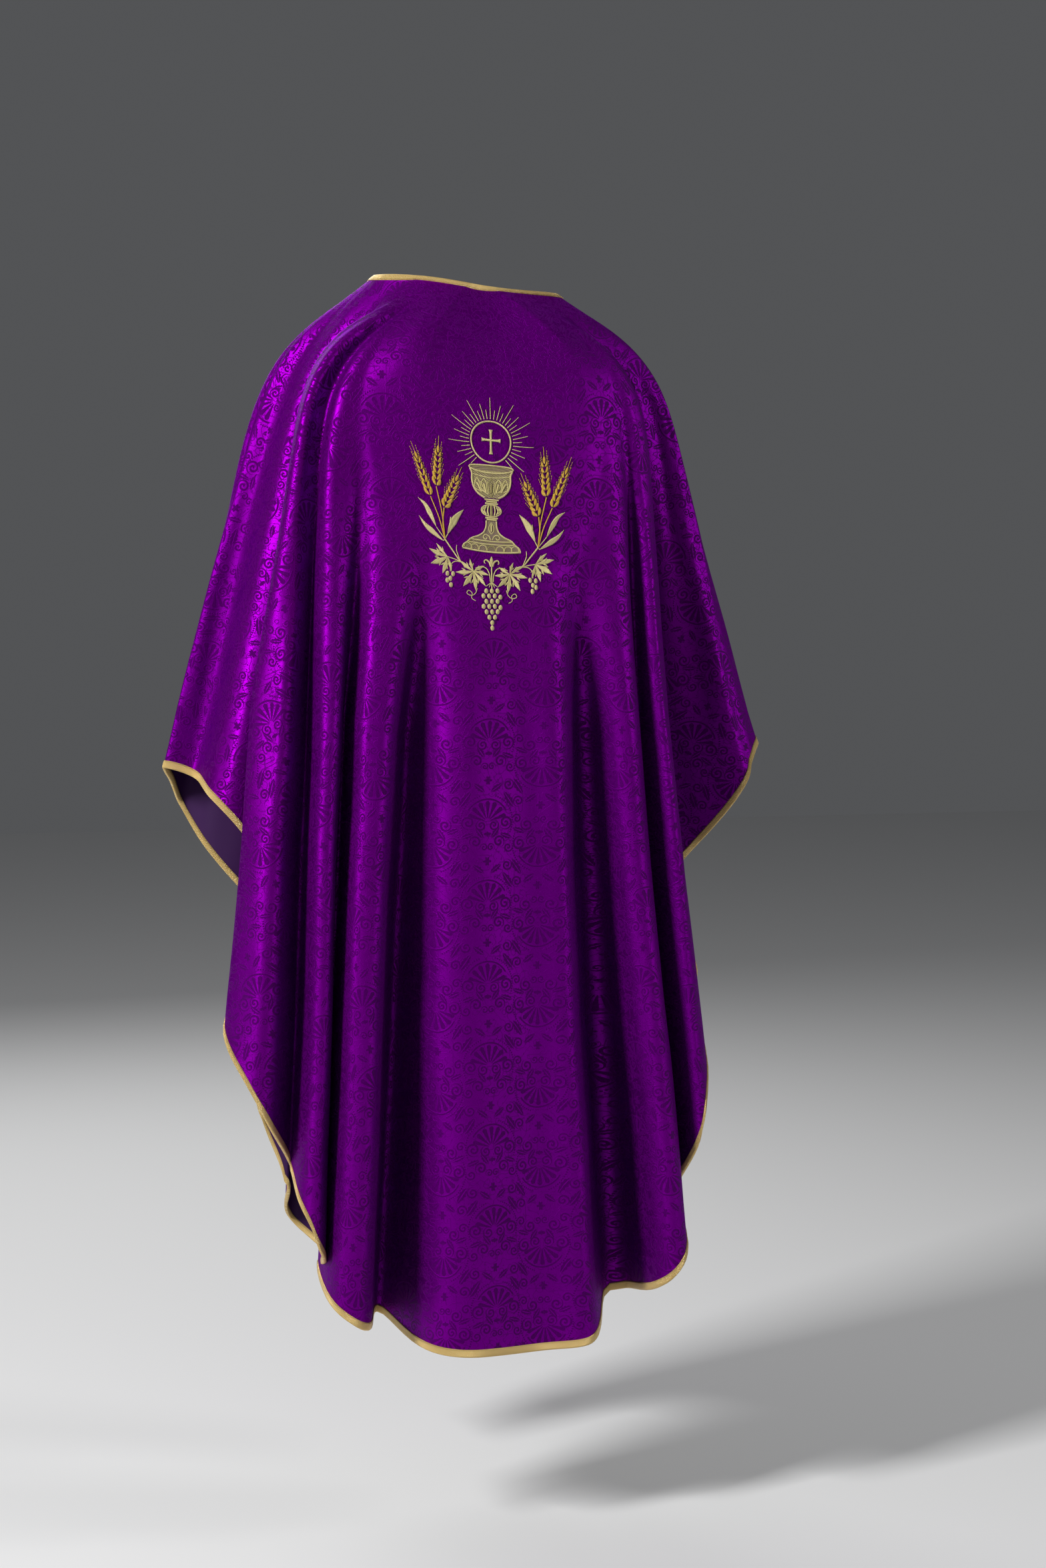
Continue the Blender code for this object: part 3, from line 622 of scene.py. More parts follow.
def flattened(grid, middle):
    """The flat pattern's coordinates of a panel's points, in metres, found by unwrapping a coarser copy.

    The middle column runs straight down, and both coordinates are zero at its top."""
    rows = np.unique(np.append(np.arange(0, grid.shape[0], UNWRAP_SKIP), grid.shape[0] - 1))
    columns = np.unique(np.append(np.arange(0, grid.shape[1], UNWRAP_SKIP), grid.shape[1] - 1))
    coarse = grid[np.ix_(rows, columns)]
    start = np.stack(np.meshgrid(columns / grid.shape[1], rows / grid.shape[0]), axis=-1)
    look = bpy.data.materials.new("unwrap")
    guide = sheet_mesh("unwrap", coarse, start, look)
    bpy.ops.object.select_all(action="DESELECT")
    bpy.context.view_layer.objects.active = guide
    guide.select_set(True)
    bpy.ops.object.mode_set(mode="EDIT")
    bpy.ops.mesh.select_all(action="SELECT")
    bpy.ops.uv.unwrap(method="MINIMUM_STRETCH", margin=0.0)
    bpy.ops.object.mode_set(mode="OBJECT")
    mesh = guide.data
    found = np.empty(len(mesh.loops) * 2, np.float32)
    mesh.uv_layers["cloth"].data.foreach_get("uv", found)
    flat = np.zeros((len(mesh.vertices), 2))
    flat[vertex_of_corners(mesh)] = found.reshape(-1, 2)
    area = sum(face.area for face in mesh.polygons)
    flat = flat.reshape(len(rows), len(columns), 2)
    quads = (flat[1:, 1:] - flat[:-1, :-1], flat[1:, :-1] - flat[:-1, 1:])
    shown = np.abs(quads[0][..., 0] * quads[1][..., 1] - quads[0][..., 1] * quads[1][..., 0]).sum() / 2
    bpy.data.objects.remove(guide, do_unlink=True)
    bpy.data.materials.remove(look)
    flat *= math.sqrt(area / shown)
    centre = int(np.argmin(np.abs(columns - middle)))
    flat -= flat[0, centre]
    down = flat[-1, centre] / np.linalg.norm(flat[-1, centre])
    aside = np.array([down[1], -down[0]])
    flat = np.stack([flat @ aside, flat @ down], axis=-1)
    row_at, column_at = np.arange(grid.shape[0]), np.arange(grid.shape[1])
    half = np.stack([along_line(row_at, rows, flat[:, c]) for c in range(len(columns))], axis=1)
    return np.stack([along_line(column_at, columns, line) for line in half])


def edge_binding(name, grid, normals, runs, at_hem, look):
    """The gold band folded over the neckline or the hem, rounded in section and a little uneven."""
    order = slice(-EDGE_ROWS, None) if at_hem else slice(0, EDGE_ROWS)
    closed = [np.concatenate([part, part[:, :1]], axis=1) for part in (grid, normals, runs)]
    near, near_normals, near_runs = (part[order] for part in closed)
    if at_hem:
        near, near_normals = near[::-1], near_normals[::-1]
        near_runs = near_runs[-1] - near_runs[::-1]
    count = near.shape[1]
    along = lengths_along(near[0])
    uneven = 0.00022 * np.sin(along * 2 * math.pi / 0.021) + 0.00016 * np.sin(along * 2 * math.pi / 0.0077)
    out = near[0] - near[1]
    out /= np.linalg.norm(out, axis=1, keepdims=True)
    inner = -(LINING_GAP + BINDING_LIFT)
    section = [(1.0, 0.0001), (0.98, 0.0009), (0.8, 0.00125), (0.5, 0.00135), (0.2, 0.00135), (0.02, 0.0012),
               (-0.07, 0.0004), (-0.1, inner / 2), (-0.07, inner + 0.0002), (0.02, inner - 0.0003),
               (0.5, inner - 0.0005), (0.98, inner - 0.0003), (1.0, -LINING_GAP)]
    points = np.empty((len(section), count, 3))
    uv = np.empty((len(section), count, 2))
    for k, (share, lift) in enumerate(section):
        run = max(share, 0) * BINDING_WIDTH
        for c in range(count):
            points[k, c] = along_line(run, near_runs[:, c], near[:, c])
        raised = lift + np.sign(lift) * uneven * (0.2 < share < 0.9)
        points[k] += near_normals[0] * raised[:, None] + out * (max(-share, 0) * BINDING_WIDTH)
        uv[k] = np.stack([along, np.full(count, (1 - share) * BINDING_WIDTH)], axis=-1)
    return sheet_mesh(name, points, uv, look, flip=at_hem)


def seam_strip(name, grid, normals, column, look):
    """The pressed allowance of a shoulder seam, between the damask and the lining."""
    count = grid.shape[1]
    middle = 8  # columns taken to each side of the seam
    columns = [(column + step) % count for step in range(-middle, middle + 1)]
    near, near_normals = grid[3:-4, columns], normals[3:-4, columns]
    at = np.linspace(-SEAM_HALF_WIDTH, SEAM_HALF_WIDTH, 5)
    strip = np.empty((near.shape[0], len(at), 3))
    uv = np.empty((near.shape[0], len(at), 2))
    down = lengths_along(near[:, middle])
    for r in range(near.shape[0]):
        run = lengths_along(near[r])
        strip[r] = along_line(at, run - run[middle], near[r] - near_normals[r] * HIDDEN_GAP)
        uv[r] = np.stack([at, np.full(len(at), down[r])], axis=-1)
    return sheet_mesh(name, strip, uv, look)


class Emblem:
    """The embroidered part of the back: finds the place of any point given about the host's centre."""

    CELL = 0.0015
    ACROSS = np.arange(-0.15, 0.1505, CELL)
    RUN = np.arange(EMBLEM_CENTRE - 0.075, EMBLEM_CENTRE + 0.26, CELL)

    def __init__(self, threads):
        self.threads = threads
        self.sewn = []
        degrees = np.arange(120.0, 59.9, -0.25)
        points, s = drape(degrees, 240)
        points = points + normals_between(points) * small_waves(degrees, s)[..., None]
        centre = int(np.argmin(np.abs(degrees - 90)))
        self.spots = np.empty((len(self.RUN), len(self.ACROSS), 3))
        for r, run in enumerate(self.RUN):
            line = np.array([along_line(run, s[:, c], points[:, c]) for c in range(len(degrees))])
            along = lengths_along(line)
            self.spots[r] = along_line(self.ACROSS, along - along[centre], line)
        self.normals = normals_between(self.spots)

    def place(self, flat, lift):
        """Points on the cloth, for flat points (u to the right of the back view, v up) and lifts."""
        flat = np.asarray(flat, float)
        column = (-flat[:, 0] - self.ACROSS[0]) / self.CELL
        row = (EMBLEM_CENTRE - flat[:, 1] - self.RUN[0]) / self.CELL
        c, r = column.astype(int), row.astype(int)
        fc, fr = (column - c)[:, None], (row - r)[:, None]
        result = []
        for field in (self.spots, self.normals):
            top = field[r, c] * (1 - fc) + field[r, c + 1] * fc
            low = field[r + 1, c] * (1 - fc) + field[r + 1, c + 1] * fc
            result.append(top * (1 - fr) + low * fr)
        normal = result[1] / np.linalg.norm(result[1], axis=1, keepdims=True)
        return result[0] + normal * np.asarray(lift, float)[:, None]

    def sew(self, piece, node, kind="gold_thread"):
        """Lays a piece of embroidery on the cloth, in place of the CAD's node."""
        points = self.place(piece.flat, piece.lift)
        made = mesh_object(f"{node}_stitches", points, piece.faces, piece.uv, self.threads[kind])
        self.sewn.append(finish_piece(made, kind, node))


def normals_between(grid):
    """Outward normals of a grid whose columns run from the wearer's right to left."""
    normal = np.cross(np.gradient(grid, axis=1), np.gradient(grid, axis=0))
    return normal / np.linalg.norm(normal, axis=-1, keepdims=True)


# Stitches. Shapes are in metres about the host's centre: u to the right in the back view, v up.

PAD = 0.0011  # height of full satin stitch above the cloth
BASE = 0.0003  # how far the edge of a stitch stands off the cloth
GRAIN_PAD = 0.0016
BEAD_PAD = 0.0018
HATCH_HALF_WIDTH = 0.00022
HATCH_HEIGHT = 0.0004
HATCH_SHORTEST = 0.001


class Stitches:
    """Strokes and beads gathered into one raised piece of embroidery."""

    def __init__(self):
        self.flat, self.lift, self.uv, self.faces = [], [], [], []

    def add(self, flat, lift, uv, faces):
        start = len(self.flat)
        self.flat += [tuple(p) for p in flat]
        self.lift += list(lift)
        self.uv += [tuple(p) for p in uv]
        self.faces += [tuple(start + i for i in face) for face in faces]

    def stroke(self, path, half_width, height=PAD, groove=0.0, samples=None, base=BASE):
        """A raised line along a smooth path. half_width and height may be functions of 0 to 1."""
        path = np.array(path, float)
        span = np.linalg.norm(np.diff(path, axis=0), axis=1).sum()
        count = samples or max(5, int(span / 0.0016) + 2)
        t = np.linspace(0, 1, count)
        line = smooth_path(path, t)
        along = np.gradient(line, axis=0)
        along /= np.linalg.norm(along, axis=1, keepdims=True) + 1e-12
        side = np.stack([-along[:, 1], along[:, 0]], axis=1)
        half = np.array([half_width(x) if callable(half_width) else half_width for x in t])
        across = np.array([-1.0, -0.8, -0.4, 0.0, 0.4, 0.8, 1.0])
        dome = np.sqrt(np.clip(1 - across**2, 0, 1)) * (1 - groove * (1 - np.abs(across)) ** 2)
        run = lengths_along(line)
        flat, lift, uv = [], [], []
        for i in range(count):
            for k, a in enumerate(across):
                flat.append(line[i] + side[i] * half[i] * a)
                lift.append(base + min(height, half[i] * 1.1) * dome[k])
                uv.append((run[i], half[i] * a))
        wide = len(across)
        faces = [(i * wide + k, i * wide + k + 1, (i + 1) * wide + k + 1, (i + 1) * wide + k)
                 for i in range(count - 1) for k in range(wide - 1)]
        self.add(flat, lift, uv, faces)

    def ring(self, centre, radius, half_width, stretch=1.0):
        turn = np.linspace(0, 2 * math.pi, 41)
        path = [(centre[0] + radius * math.sin(a), centre[1] + radius * stretch * math.cos(a)) for a in turn]
        self.stroke(path, half_width, samples=81)

    def bead(self, centre, wide, tall, lean):
        """A padded oval: a grape."""
        flat, lift, uv, faces = [centre], [BASE + BEAD_PAD], [(0.0, 0.0)], []
        spokes = 12
        for ring in (1, 2, 3):
            reach = math.sin(ring * math.pi / 6)
            for i in range(spokes):
                a = 2 * math.pi * i / spokes
                du, dv = wide * reach * math.cos(a), tall * reach * math.sin(a)
                c, s = math.cos(lean), math.sin(lean)
                flat.append((centre[0] + du * c - dv * s, centre[1] + du * s + dv * c))
                lift.append(BASE + BEAD_PAD * math.cos(ring * math.pi / 6))
                uv.append((dv, du))
        for i in range(spokes):
            j = (i + 1) % spokes
            faces.append((0, 1 + i, 1 + j))
            for ring in (1, 2):
                a, b = 1 + (ring - 1) * spokes, 1 + ring * spokes
                faces.append((a + i, b + i, b + j, a + j))
        self.add(flat, lift, uv, faces)


def smooth_path(path, t):
    """A curve through the points that keeps the slope between each point's neighbours."""
    knots = lengths_along(path)
    knots = knots / knots[-1]
    slope = np.gradient(path, knots, axis=0) if len(path) > 2 else np.repeat(path[1:] - path[:1], 2, axis=0)
    i = np.clip(np.searchsorted(knots, t, side="right") - 1, 0, len(knots) - 2)
    span = (knots[i + 1] - knots[i])[:, None]
    f = (t - knots[i])[:, None] / span
    start = (1 + 2 * f) * (1 - f) ** 2 * path[i] + f * (1 - f) ** 2 * slope[i] * span
    return start + f**2 * (3 - 2 * f) * path[i + 1] + f**2 * (f - 1) * slope[i + 1] * span


def densified(outline, step):
    """The outline with points no further apart than a step."""
    points = []
    for a, b in zip(outline, list(outline[1:]) + [outline[0]]):
        a, b = np.array(a), np.array(b)
        pieces = max(1, int(np.linalg.norm(b - a) / step))
        points += [a + (b - a) * k / pieces for k in range(pieces)]
    return np.array(points)


def pointed(wide, peak=0.45):
    """Half width of a leaf along its length, from its stalk to its tip."""
    def at(t):
        swell = (t / peak) ** 0.7 if t < peak else (1 - ((t - peak) / (1 - peak)) ** 1.6)
        return max(0.00025, wide * swell)
    return at


def grain_shape(end, middle, fullness):
    """Half width of a grain along its length."""
    return lambda t: end + middle * math.sin(math.pi * t) ** fullness


def tapered(start, loss):
    """Half width of a thread that thins evenly along its length."""
    return lambda t: start - loss * t


def mirrored(points, side):
    """The points as given for the right side, or turned over to the left for side = -1."""
    return [(side * u, v) for u, v in points]


def embroider_host(emblem):
    ring = Stitches()
    ring.ring((0, 0), HOST_RADIUS, 0.001)
    emblem.sew(ring, "host_ring")
    cross = Stitches()
    arm = 0.0145

    def flared(t):
        return 0.0013 + 0.0012 * abs(2 * t - 1) ** 5

    cross.stroke([(0, -arm), (0, arm)], flared, samples=22)
    cross.stroke([(-arm * 0.8, 0.002), (arm * 0.8, 0.002)], flared, samples=20)
    emblem.sew(cross, "host_cross")
    rays = Stitches()
    count = 44
    below_cup = 0.66  # radians either side of straight down that the chalice covers
    for i in range(count):
        turn = 2 * math.pi * i / count
        if abs(turn - math.pi) < below_cup:
            continue
        reach = (0.0535, 0.0385, 0.046, 0.0385)[i % 4]
        start = HOST_RADIUS + 0.0028
        way = (math.sin(turn), math.cos(turn))
        path = [(way[0] * start, way[1] * start), (way[0] * reach, way[1] * reach)]
        rays.stroke(path, lambda t: 0.00055 * (1 - 0.35 * t), samples=12)
    emblem.sew(rays, "host_rays")


def hatch(piece, outline, spacing, lean, base=BASE):
    """Thin parallel threads across an outline, with the cloth showing between them."""
    outline = densified(outline, 0.003)
    c, s = math.cos(lean), math.sin(lean)
    turned = np.stack([outline @ (c, s), outline @ (-s, c)], axis=-1)
    for level in np.arange(turned[:, 1].min() + spacing / 2, turned[:, 1].max(), spacing):
        a, b = turned, np.roll(turned, -1, axis=0)
        hit = (a[:, 1] > level) != (b[:, 1] > level)
        share = (level - a[hit, 1]) / (b[hit, 1] - a[hit, 1])
        ends = np.sort(a[hit, 0] + share * (b[hit, 0] - a[hit, 0]))
        for low, high in zip(ends[::2], ends[1::2]):
            if high - low > HATCH_SHORTEST:
                path = [(at * c - level * s, at * s + level * c) for at in (low, high)]
                samples = max(3, int((high - low) / 0.003) + 2)
                piece.stroke(path, HATCH_HALF_WIDTH, height=HATCH_HEIGHT, samples=samples, base=base)


def both_sides(piece, points, half_width):
    for side in (-1, 1):
        piece.stroke(mirrored(points, side), half_width)


def embroider_chalice(emblem):
    cup = Stitches()
    rim = [(0.0272 * math.sin(a), -0.0325 + 0.0044 * math.cos(a)) for a in np.linspace(0, 2 * math.pi, 33)]
    hatch(cup, rim[:-1], 0.001, 0.12)
    cup.ring((0, -0.0325), 0.0274, 0.0009, stretch=0.165)
    wall = [(0.0262, -0.0345), (0.0242, -0.0385), (0.0238, -0.0475), (0.0215, -0.056), (0.016, -0.0625),
            (0.0085, -0.0665)]
    lip = [(-u, v) for u, v in reversed(wall)]
    hatch(cup, wall + lip, 0.0011, 0.5)
    hatch(cup, wall + lip, 0.0022, -0.5, base=BASE + 0.0002)
    both_sides(cup, wall, 0.0011)
    cup.stroke([(-0.0238, -0.0405), (0.0, -0.0425), (0.0238, -0.0405)], 0.0006)
    for centre in (0.0, 0.009, 0.0172):
        half = 0.004 * (1 - centre * 14)
        bottom = (centre * 0.42, -0.0648 + centre * 0.3)
        crown = (centre * 1.03, -0.044)
        for lean in (-1, 1):
            petal = [bottom, (centre + lean * half, -0.056), (centre + lean * half * 0.9, -0.049), crown]
            both_sides(cup, petal, 0.0006)
        both_sides(cup, [(centre * 0.7, -0.06), (centre, -0.05)], 0.001)
    for centre in (0.0045, 0.0132, 0.0208):
        both_sides(cup, [(centre * 0.62, -0.06 + centre * 0.2), (centre, -0.048)], 0.00055)
    emblem.sew(cup, "chalice_cup")
    knop = Stitches()
    turnings = ((-0.0685, 0.0088), (-0.0708, 0.0066), (-0.0732, 0.008), (-0.0902, 0.0078), (-0.0922, 0.0062))
    for v, half in turnings:
        knop.stroke([(-half, v), (half, v)], 0.001, samples=14)
    knop.ring((0, -0.0815), 0.0122, 0.0008, stretch=0.56)
    for centre in (0.0, 0.0044, 0.008, 0.0104):
        squeeze = math.sqrt(1 - (centre / 0.0122) ** 2)
        path = [(centre * 0.8, -0.0815 + 0.0062 * squeeze), (centre * 1.05, -0.0815),
                (centre * 0.8, -0.0815 - 0.0062 * squeeze)]
        both_sides(knop, path, 0.0016 if centre == 0.0 else 0.0009)
    emblem.sew(knop, "chalice_knop")
    foot = Stitches()
    flare = [(0.0062, -0.0935), (0.0068, -0.101), (0.0095, -0.1075), (0.015, -0.112), (0.024, -0.1165),
             (0.0262, -0.118)]
    tier = [(0.0262, -0.118), (0.03, -0.1225), (0.0345, -0.1265), (0.0358, -0.13)]
    outline = flare + tier[1:]
    hatch(foot, outline + [(-u, v) for u, v in reversed(outline)], 0.0011, 0.5)
    both_sides(foot, flare, 0.0009)
    both_sides(foot, tier, 0.0009)
    for v, half in ((-0.1178, 0.0258), (-0.1216, 0.0296), (-0.1305, 0.0362)):
        foot.stroke([(-half, v), (half, v)], 0.001 if v < -0.13 else 0.0007, samples=30)
    for centre in (0.0, 0.0105, 0.0205, 0.029):
        arch = [(centre - 0.0048, -0.1292), (centre - 0.0036, -0.1248), (centre, -0.1232),
                (centre + 0.0036, -0.1248), (centre + 0.0048, -0.1292)]
        both_sides(foot, arch, 0.00055)
    curl = [(0.001, -0.116), (0.004, -0.111), (0.0085, -0.1105), (0.01, -0.114), (0.007, -0.1158),
            (0.0055, -0.1135)]
    both_sides(foot, curl, 0.0006)
    both_sides(foot, [(0.0, -0.0955), (0.003, -0.101), (0.0022, -0.1065), (0.0, -0.109)], 0.0005)
    foot.stroke([(0.0, -0.0975), (0.0, -0.106)], 0.001)
    emblem.sew(foot, "chalice_foot")


def embroider_wheat(emblem, side, name):
    """Three ears with their awns and stalks, and three leaves. side is -1 for the left of the back view."""
    junction = (0.058, -0.127)
    ears = (
        ("outer", (0.0765, -0.0835), (0.0945, -0.0465)),
        ("middle", (0.069, -0.069), (0.0665, -0.027)),
        ("inner", (0.059, -0.0905), (0.0435, -0.053)),
    )
    for which, foot, top in ears:
        piece = Stitches()
        foot, top = np.array(foot), np.array(top)
        along = (top - foot) / np.linalg.norm(top - foot)
        aside = np.array([-along[1], along[0]])
        span = np.linalg.norm(top - foot)
        bend = (foot + np.array(junction)) / 2 + aside * 0.002 * (-1 if which == "inner" else 1)
        piece.stroke(mirrored([junction, bend, foot], side), 0.00075, samples=26)
        levels = 6
        for level in range(levels):
            at = foot + along * span * (level + 0.2) / levels
            size = 1.0 - 0.45 * level / levels
            for hand in (-1, 1):
                tip = at + along * 0.0098 * size + aside * hand * 0.0046 * size
                root = at + aside * hand * 0.0006
                middle = (root + tip) / 2 + aside * hand * 0.0012
                grain = mirrored([root, middle, tip], side)
                piece.stroke(grain, grain_shape(0.0003, 0.0019 * size, 0.8), height=GRAIN_PAD, samples=9)
                awn_end = tip + along * 0.0135 + aside * hand * (0.0042 - 0.0006 * level)
                for share in np.arange(0.0, 0.95, 0.2):
                    a, b = tip + (awn_end - tip) * share, tip + (awn_end - tip) * (share + 0.14)
                    piece.stroke(mirrored([a, b], side), 0.00032, samples=3)
        crown = top + along * 0.0075
        tip_grain = mirrored([top - along * 0.002, crown], side)
        piece.stroke(tip_grain, grain_shape(0.0002, 0.0016, 1), height=GRAIN_PAD, samples=9)
        piece.stroke(mirrored([crown, crown + along * 0.011], side), 0.0003, samples=8)
        emblem.sew(piece, f"wheat_ear_{name}_{which}", "wheat_thread")
    leaves = (
        ("outer", [(0.069, -0.1165), (0.0765, -0.105), (0.084, -0.096), (0.0935, -0.0925)], 0.0036),
        ("lower", [(0.06, -0.1295), (0.072, -0.1245), (0.084, -0.1195), (0.092, -0.113)], 0.0036),
        ("inner", [(0.0545, -0.12), (0.05, -0.109), (0.0435, -0.097), (0.0345, -0.0855)], 0.004),
    )
    for which, path, wide in leaves:
        piece = Stitches()
        piece.stroke(mirrored([junction, path[0]], side), 0.0006, samples=8)
        piece.stroke(mirrored(path, side), pointed(wide), height=0.0014, groove=0.7, samples=24)
        barb = [path[1], (path[1][0] * 0.55 + path[2][0] * 0.45 + 0.0035, path[2][1] - 0.0015)]
        piece.stroke(mirrored(barb, side), pointed(0.0018), samples=9)
        emblem.sew(piece, f"wheat_leaf_{name}_{which}")


def vine_leaf(piece, heart, heading, size, lobes):
    """Pointed lobes, each with a sunk midrib, that spread from the leaf's heart."""
    for turn, reach in lobes:
        way = heading + math.radians(turn)
        c, s = math.cos(way), math.sin(way)
        long = size * reach
        path = [heart, (heart[0] + c * long * 0.5 - s * 0.0006, heart[1] + s * long * 0.5 + c * 0.0006),
                (heart[0] + c * long, heart[1] + s * long)]
        piece.stroke(path, pointed(long * 0.118, 0.55), height=0.0013, groove=0.6, samples=16)
        for share, lean in ((0.6, 0.62), (0.6, -0.62)):
            root = (heart[0] + c * long * (share - 0.25), heart[1] + s * long * (share - 0.25))
            c2, s2 = math.cos(way + lean), math.sin(way + lean)
            tip = (root[0] + c2 * long * 0.34, root[1] + s2 * long * 0.34)
            piece.stroke([root, tip], pointed(long * 0.048, 0.5), samples=7)


def embroider_vine(emblem):
    stem = Stitches()
    branches = (
        ([(0.058, -0.127), (0.048, -0.1375), (0.0385, -0.1475), (0.027, -0.1535)], tapered(0.0011, 0.0004)),
        ([(0.0385, -0.1475), (0.041, -0.142), (0.0435, -0.1345), (0.043, -0.1295)], tapered(0.0008, 0.0004)),
        ([(0.0385, -0.1478), (0.047, -0.1466), (0.055, -0.1466)], 0.0006),
        ([(0.037, -0.1482), (0.045, -0.1492), (0.0505, -0.1545), (0.0512, -0.1625)], 0.0005),
        ([(0.02, -0.152), (0.014, -0.1492), (0.007, -0.15), (0.003, -0.156), (0.0016, -0.166)], 0.0006),
    )
    for path, half_width in branches:
        both_sides(stem, path, half_width)
    for lean in (-0.0075, -0.0035, 0.0035, 0.0075):
        path = [(0.0, -0.1665), (lean * 0.5, -0.169), (lean, -0.1735 + abs(lean) * 0.25)]
        stem.stroke(path, tapered(0.0007, 0.0004))
    emblem.sew(stem, "vine_stem")
    fleur = Stitches()
    fleur.stroke([(0, -0.166), (0, -0.144)], 0.0008)
    fleur.stroke([(0, -0.1475), (0, -0.1355)], pointed(0.0022, 0.55))
    petal = [(0.0008, -0.1475), (0.0035, -0.142), (0.0075, -0.1402), (0.0092, -0.143), (0.0078, -0.1446)]
    both_sides(fleur, petal, tapered(0.0013, 0.0007))
    emblem.sew(fleur, "vine_fleur")
    # Heart, heading, size, and each lobe's turn in degrees and reach.
    leaves = (
        ("inner", (0.0225, -0.156), -62, 0.0225, ((-150, 0.7), (-112, 0.85), (-72, 0.95), (-35, 1.0),
                                                   (5, 1.05), (48, 1.0), (92, 0.85), (135, 0.65))),
        ("outer", (0.0545, -0.1466), -35, 0.026, ((-72, 0.62), (-38, 0.85), (0, 1.0), (38, 0.92), (72, 0.7))),
    )
    berries = ((0.0548, -0.166), (0.0478, -0.1645), (0.0512, -0.1708), (0.055, -0.1738), (0.0505, -0.178))
    for side, name in ((-1, "left"), (1, "right")):
        for which, (u, v), degrees, size, lobes in leaves:
            heading = math.radians(degrees)
            if side < 0:
                heading = math.pi - heading
            leaf = Stitches()
            vine_leaf(leaf, (side * u, v), heading, size, [(turn * side, reach) for turn, reach in lobes])
            emblem.sew(leaf, f"vine_leaf_{name}_{which}")
        bunch = Stitches()
        for u, v in berries:
            bunch.bead((side * u, v), 0.0023, 0.0032, lean=0.25 * side)
        emblem.sew(bunch, f"grape_bunch_{name}")
        tendril = Stitches()
        curl = [(0.018, -0.175), (0.0205, -0.1815), (0.026, -0.185), (0.031, -0.183), (0.029, -0.1795),
                (0.0248, -0.1815), (0.025, -0.188), (0.0205, -0.1905)]
        tendril.stroke(mirrored(curl, side), 0.00048, samples=46)
        emblem.sew(tendril, f"vine_tendril_{name}")
    grapes = Stitches()
    grapes.stroke([(0, -0.1665), (0, -0.174)], 0.0007)
    for row, count in enumerate((3, 4, 3, 4, 3, 2, 1, 1)):
        for i in range(count):
            u = (i - (count - 1) / 2) * 0.007
            v = -0.1765 - row * 0.0062 + 0.0006 * ((i * 7 + row * 3) % 3 - 1)
            grapes.bead((u, v), 0.0025, 0.0031, lean=0.12 * ((i + row) % 3 - 1))
    emblem.sew(grapes, "grape_bunch_centre")


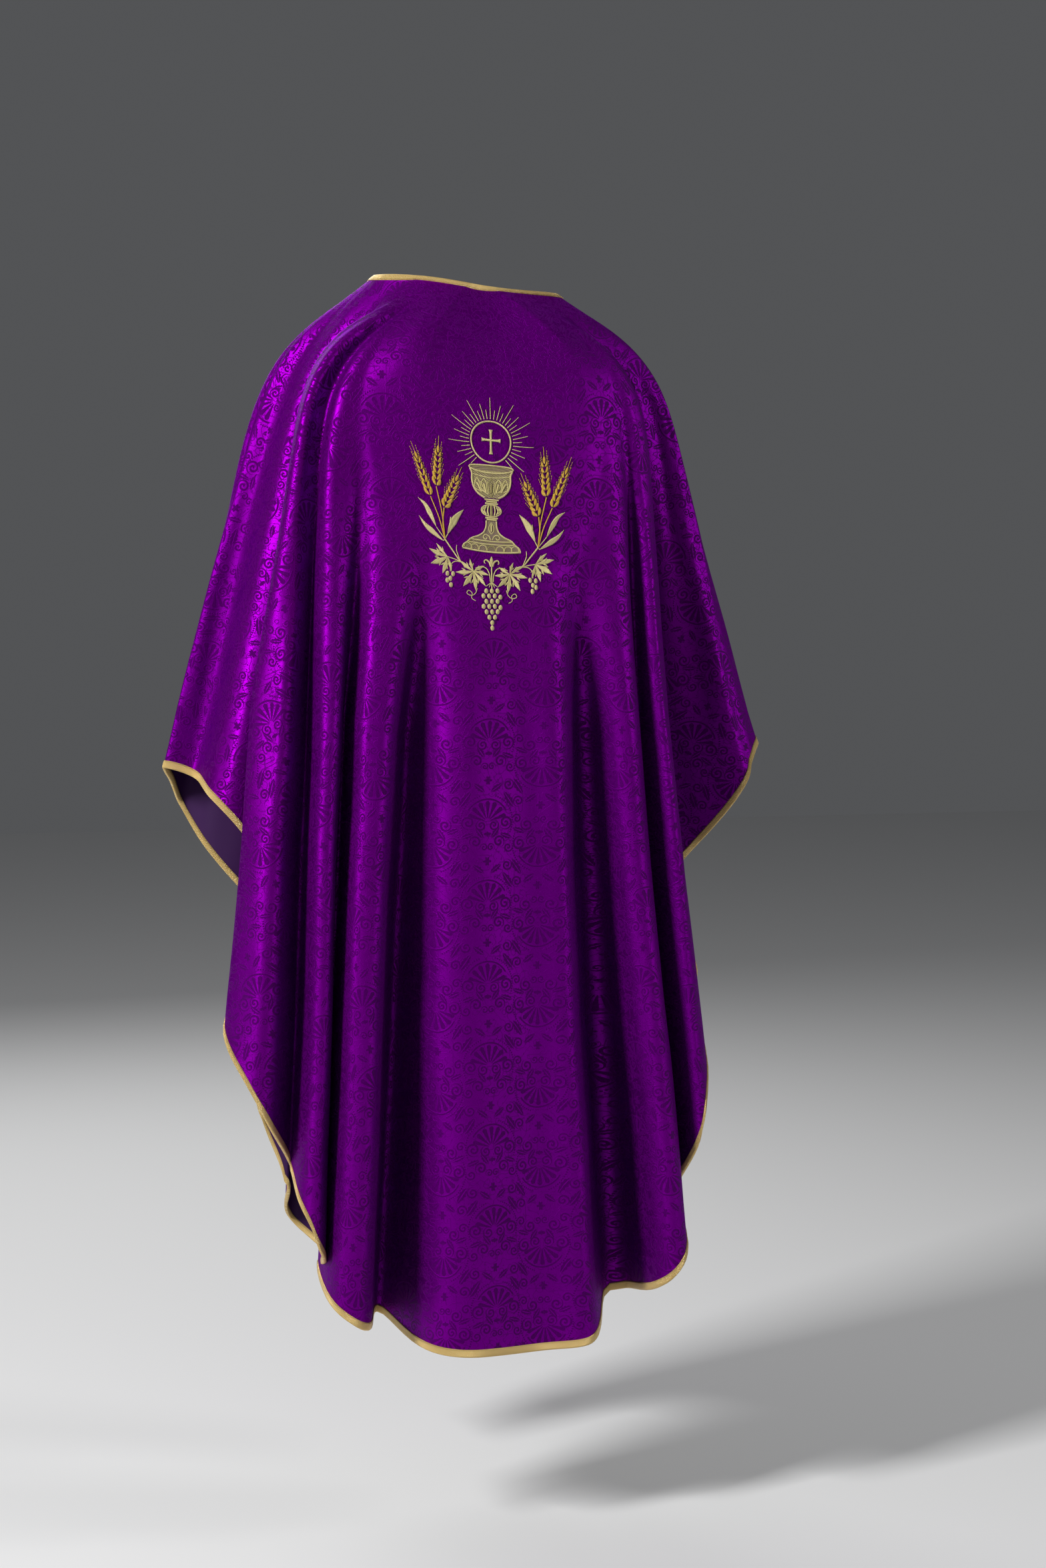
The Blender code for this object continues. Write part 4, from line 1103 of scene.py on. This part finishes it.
def dress():
    """The cloth, its trim and its embroidery."""
    degrees = np.arange(COLUMNS) * (360.0 / COLUMNS)
    grid, runs = drape(degrees, STEPS)
    grid = grid + normals_of(grid) * small_waves(degrees, runs)[..., None]
    normals = normals_of(grid)
    half = COLUMNS // 2
    looks = {"damask": damask(), "lining": lining(), "gold": gold_band(), "backing": backing_cloth()}
    # The last colour given to each thread is the painted shade in the grooves between its threads.
    threads = {
        "gold_thread": thread("gold_thread", PALE_GOLD, (0.17, 0.12, 0.04)),
        "wheat_thread": thread("wheat_thread", WHEAT_GOLD, (0.2, 0.09, 0.004)),
    }
    radius = hem_radius(np.radians(degrees))
    opening = neck_radius(np.radians(degrees))
    sectors = (radius**2 - opening**2) / 2 * math.radians(360 / COLUMNS)
    sheets = {}
    for name, first, length in (("back", 0, BACK_LENGTH), ("front", half, FRONT_LENGTH)):
        part = [(first + i) % COLUMNS for i in range(half + 1)]
        flat = flattened(grid[:, part], half // 2)
        panel = sheet_mesh(f"{name}_panel_cloth", grid[:, part], flat, looks["damask"])
        finish_piece(panel, "damask", f"{name}_panel")
        inside = grid[:, part] - normals[:, part] * LINING_GAP
        inner = sheet_mesh(f"{name}_lining_cloth", inside, flat, looks["lining"], flip=True)
        finish_piece(inner, "lining", f"{name}_lining")
        size = (2 * HALF_WIDTH - RIGHT_SHORTER, length)
        area = float(sectors[part[:-1]].sum())
        sheets[name] = (panel, inner, size, area)
    hem = edge_binding("hem_band", grid, normals, runs, True, looks["gold"])
    finish_piece(hem, "gold_binding", "hem_binding")
    neck = edge_binding("neck_band", grid, normals, runs, False, looks["gold"])
    finish_piece(neck, "gold_binding", "neck_binding")
    seams = []
    for name, column in (("left", 0), ("right", half)):
        seam = seam_strip(f"shoulder_seam_{name}_strip", grid, normals, column, looks["damask"])
        seams.append(finish_piece(seam, "damask", f"shoulder_seam_{name}"))
    emblem = Emblem(threads)
    embroider_host(emblem)
    embroider_chalice(emblem)
    embroider_wheat(emblem, -1, "left")
    embroider_wheat(emblem, 1, "right")
    embroider_vine(emblem)
    rows = slice(12, len(emblem.RUN) - 12, 6)
    columns = slice(24, len(emblem.ACROSS) - 24, 6)
    behind = (emblem.spots - emblem.normals * BACKING_GAP)[rows, columns]
    flat = np.stack(np.meshgrid(emblem.ACROSS[columns], emblem.RUN[rows]), axis=-1)
    backing = sheet_mesh("embroidery_backing_sheet", behind, flat, looks["backing"], flip=True)
    finish_piece(backing, "backing", "embroidery_backing")
    trim = {"with_pieces": [hem, neck, *seams, *emblem.sewn]}
    for name, sewn_on in (("back", trim), ("front", {})):
        panel, inner, size, area = sheets[name]


def area_light(name, place, aim, size, power):
    data = bpy.data.lights.new(name, "AREA")
    data.shape = "RECTANGLE"
    data.size, data.size_y = size
    data.energy = power
    light = linked(name, data)
    light.location = place
    light.rotation_euler = (Vector(aim) - Vector(place)).to_track_quat("-Z", "Y").to_euler()


def studio():
    """A pale floor, soft lights, and the camera behind the garment."""
    a, e = math.radians(CAMERA_AZIMUTH), math.radians(CAMERA_ELEVATION)
    out = Vector((math.sin(a) * math.cos(e), -math.cos(a) * math.cos(e), math.sin(e)))
    data = bpy.data.cameras.new("camera")
    data.sensor_fit = "VERTICAL"
    data.sensor_height = SENSOR_MM
    data.lens = LENS_MM
    camera = linked("camera", data)
    camera.location = Vector(CAMERA_TARGET) + out * CAMERA_DISTANCE
    camera.rotation_euler = out.to_track_quat("Z", "Y").to_euler()
    bpy.context.scene.camera = camera
    mesh = bpy.data.meshes.new("floor")
    signs = ((-1, -1), (1, -1), (1, 1), (-1, 1))
    corners = [(x * FLOOR_REACH, y * FLOOR_REACH, FLOOR_HEIGHT) for x, y in signs]
    mesh.from_pydata(corners, [], [(0, 1, 2, 3)])
    floor = linked("floor", mesh)
    look = Look("floor")
    look.fixed(Base_Color=(0.72, 0.72, 0.72, 1.0), Roughness=0.8)
    mesh.materials.append(look.material)
    world = bpy.data.worlds.new("studio")
    world.use_nodes = True
    sky = world.node_tree.nodes["Background"]
    sky.inputs["Color"].default_value = (0.86, 0.88, 0.92, 1.0)
    sky.inputs["Strength"].default_value = 0.1
    bpy.context.scene.world = world
    bpy.context.scene.view_settings.view_transform = "Standard"
    middle = (0.0, 0.0, -0.6)
    area_light("key", (3.0, 1.75, 1.7), middle, (0.7, 1.1), 205.0)
    area_light("fill", (-3.2, 1.3, 0.6), middle, (0.7, 1.8), 40.0)
    area_light("front_fill", (0.5, -3.0, 1.0), middle, (2.0, 2.0), 45.0)


dress()
studio()
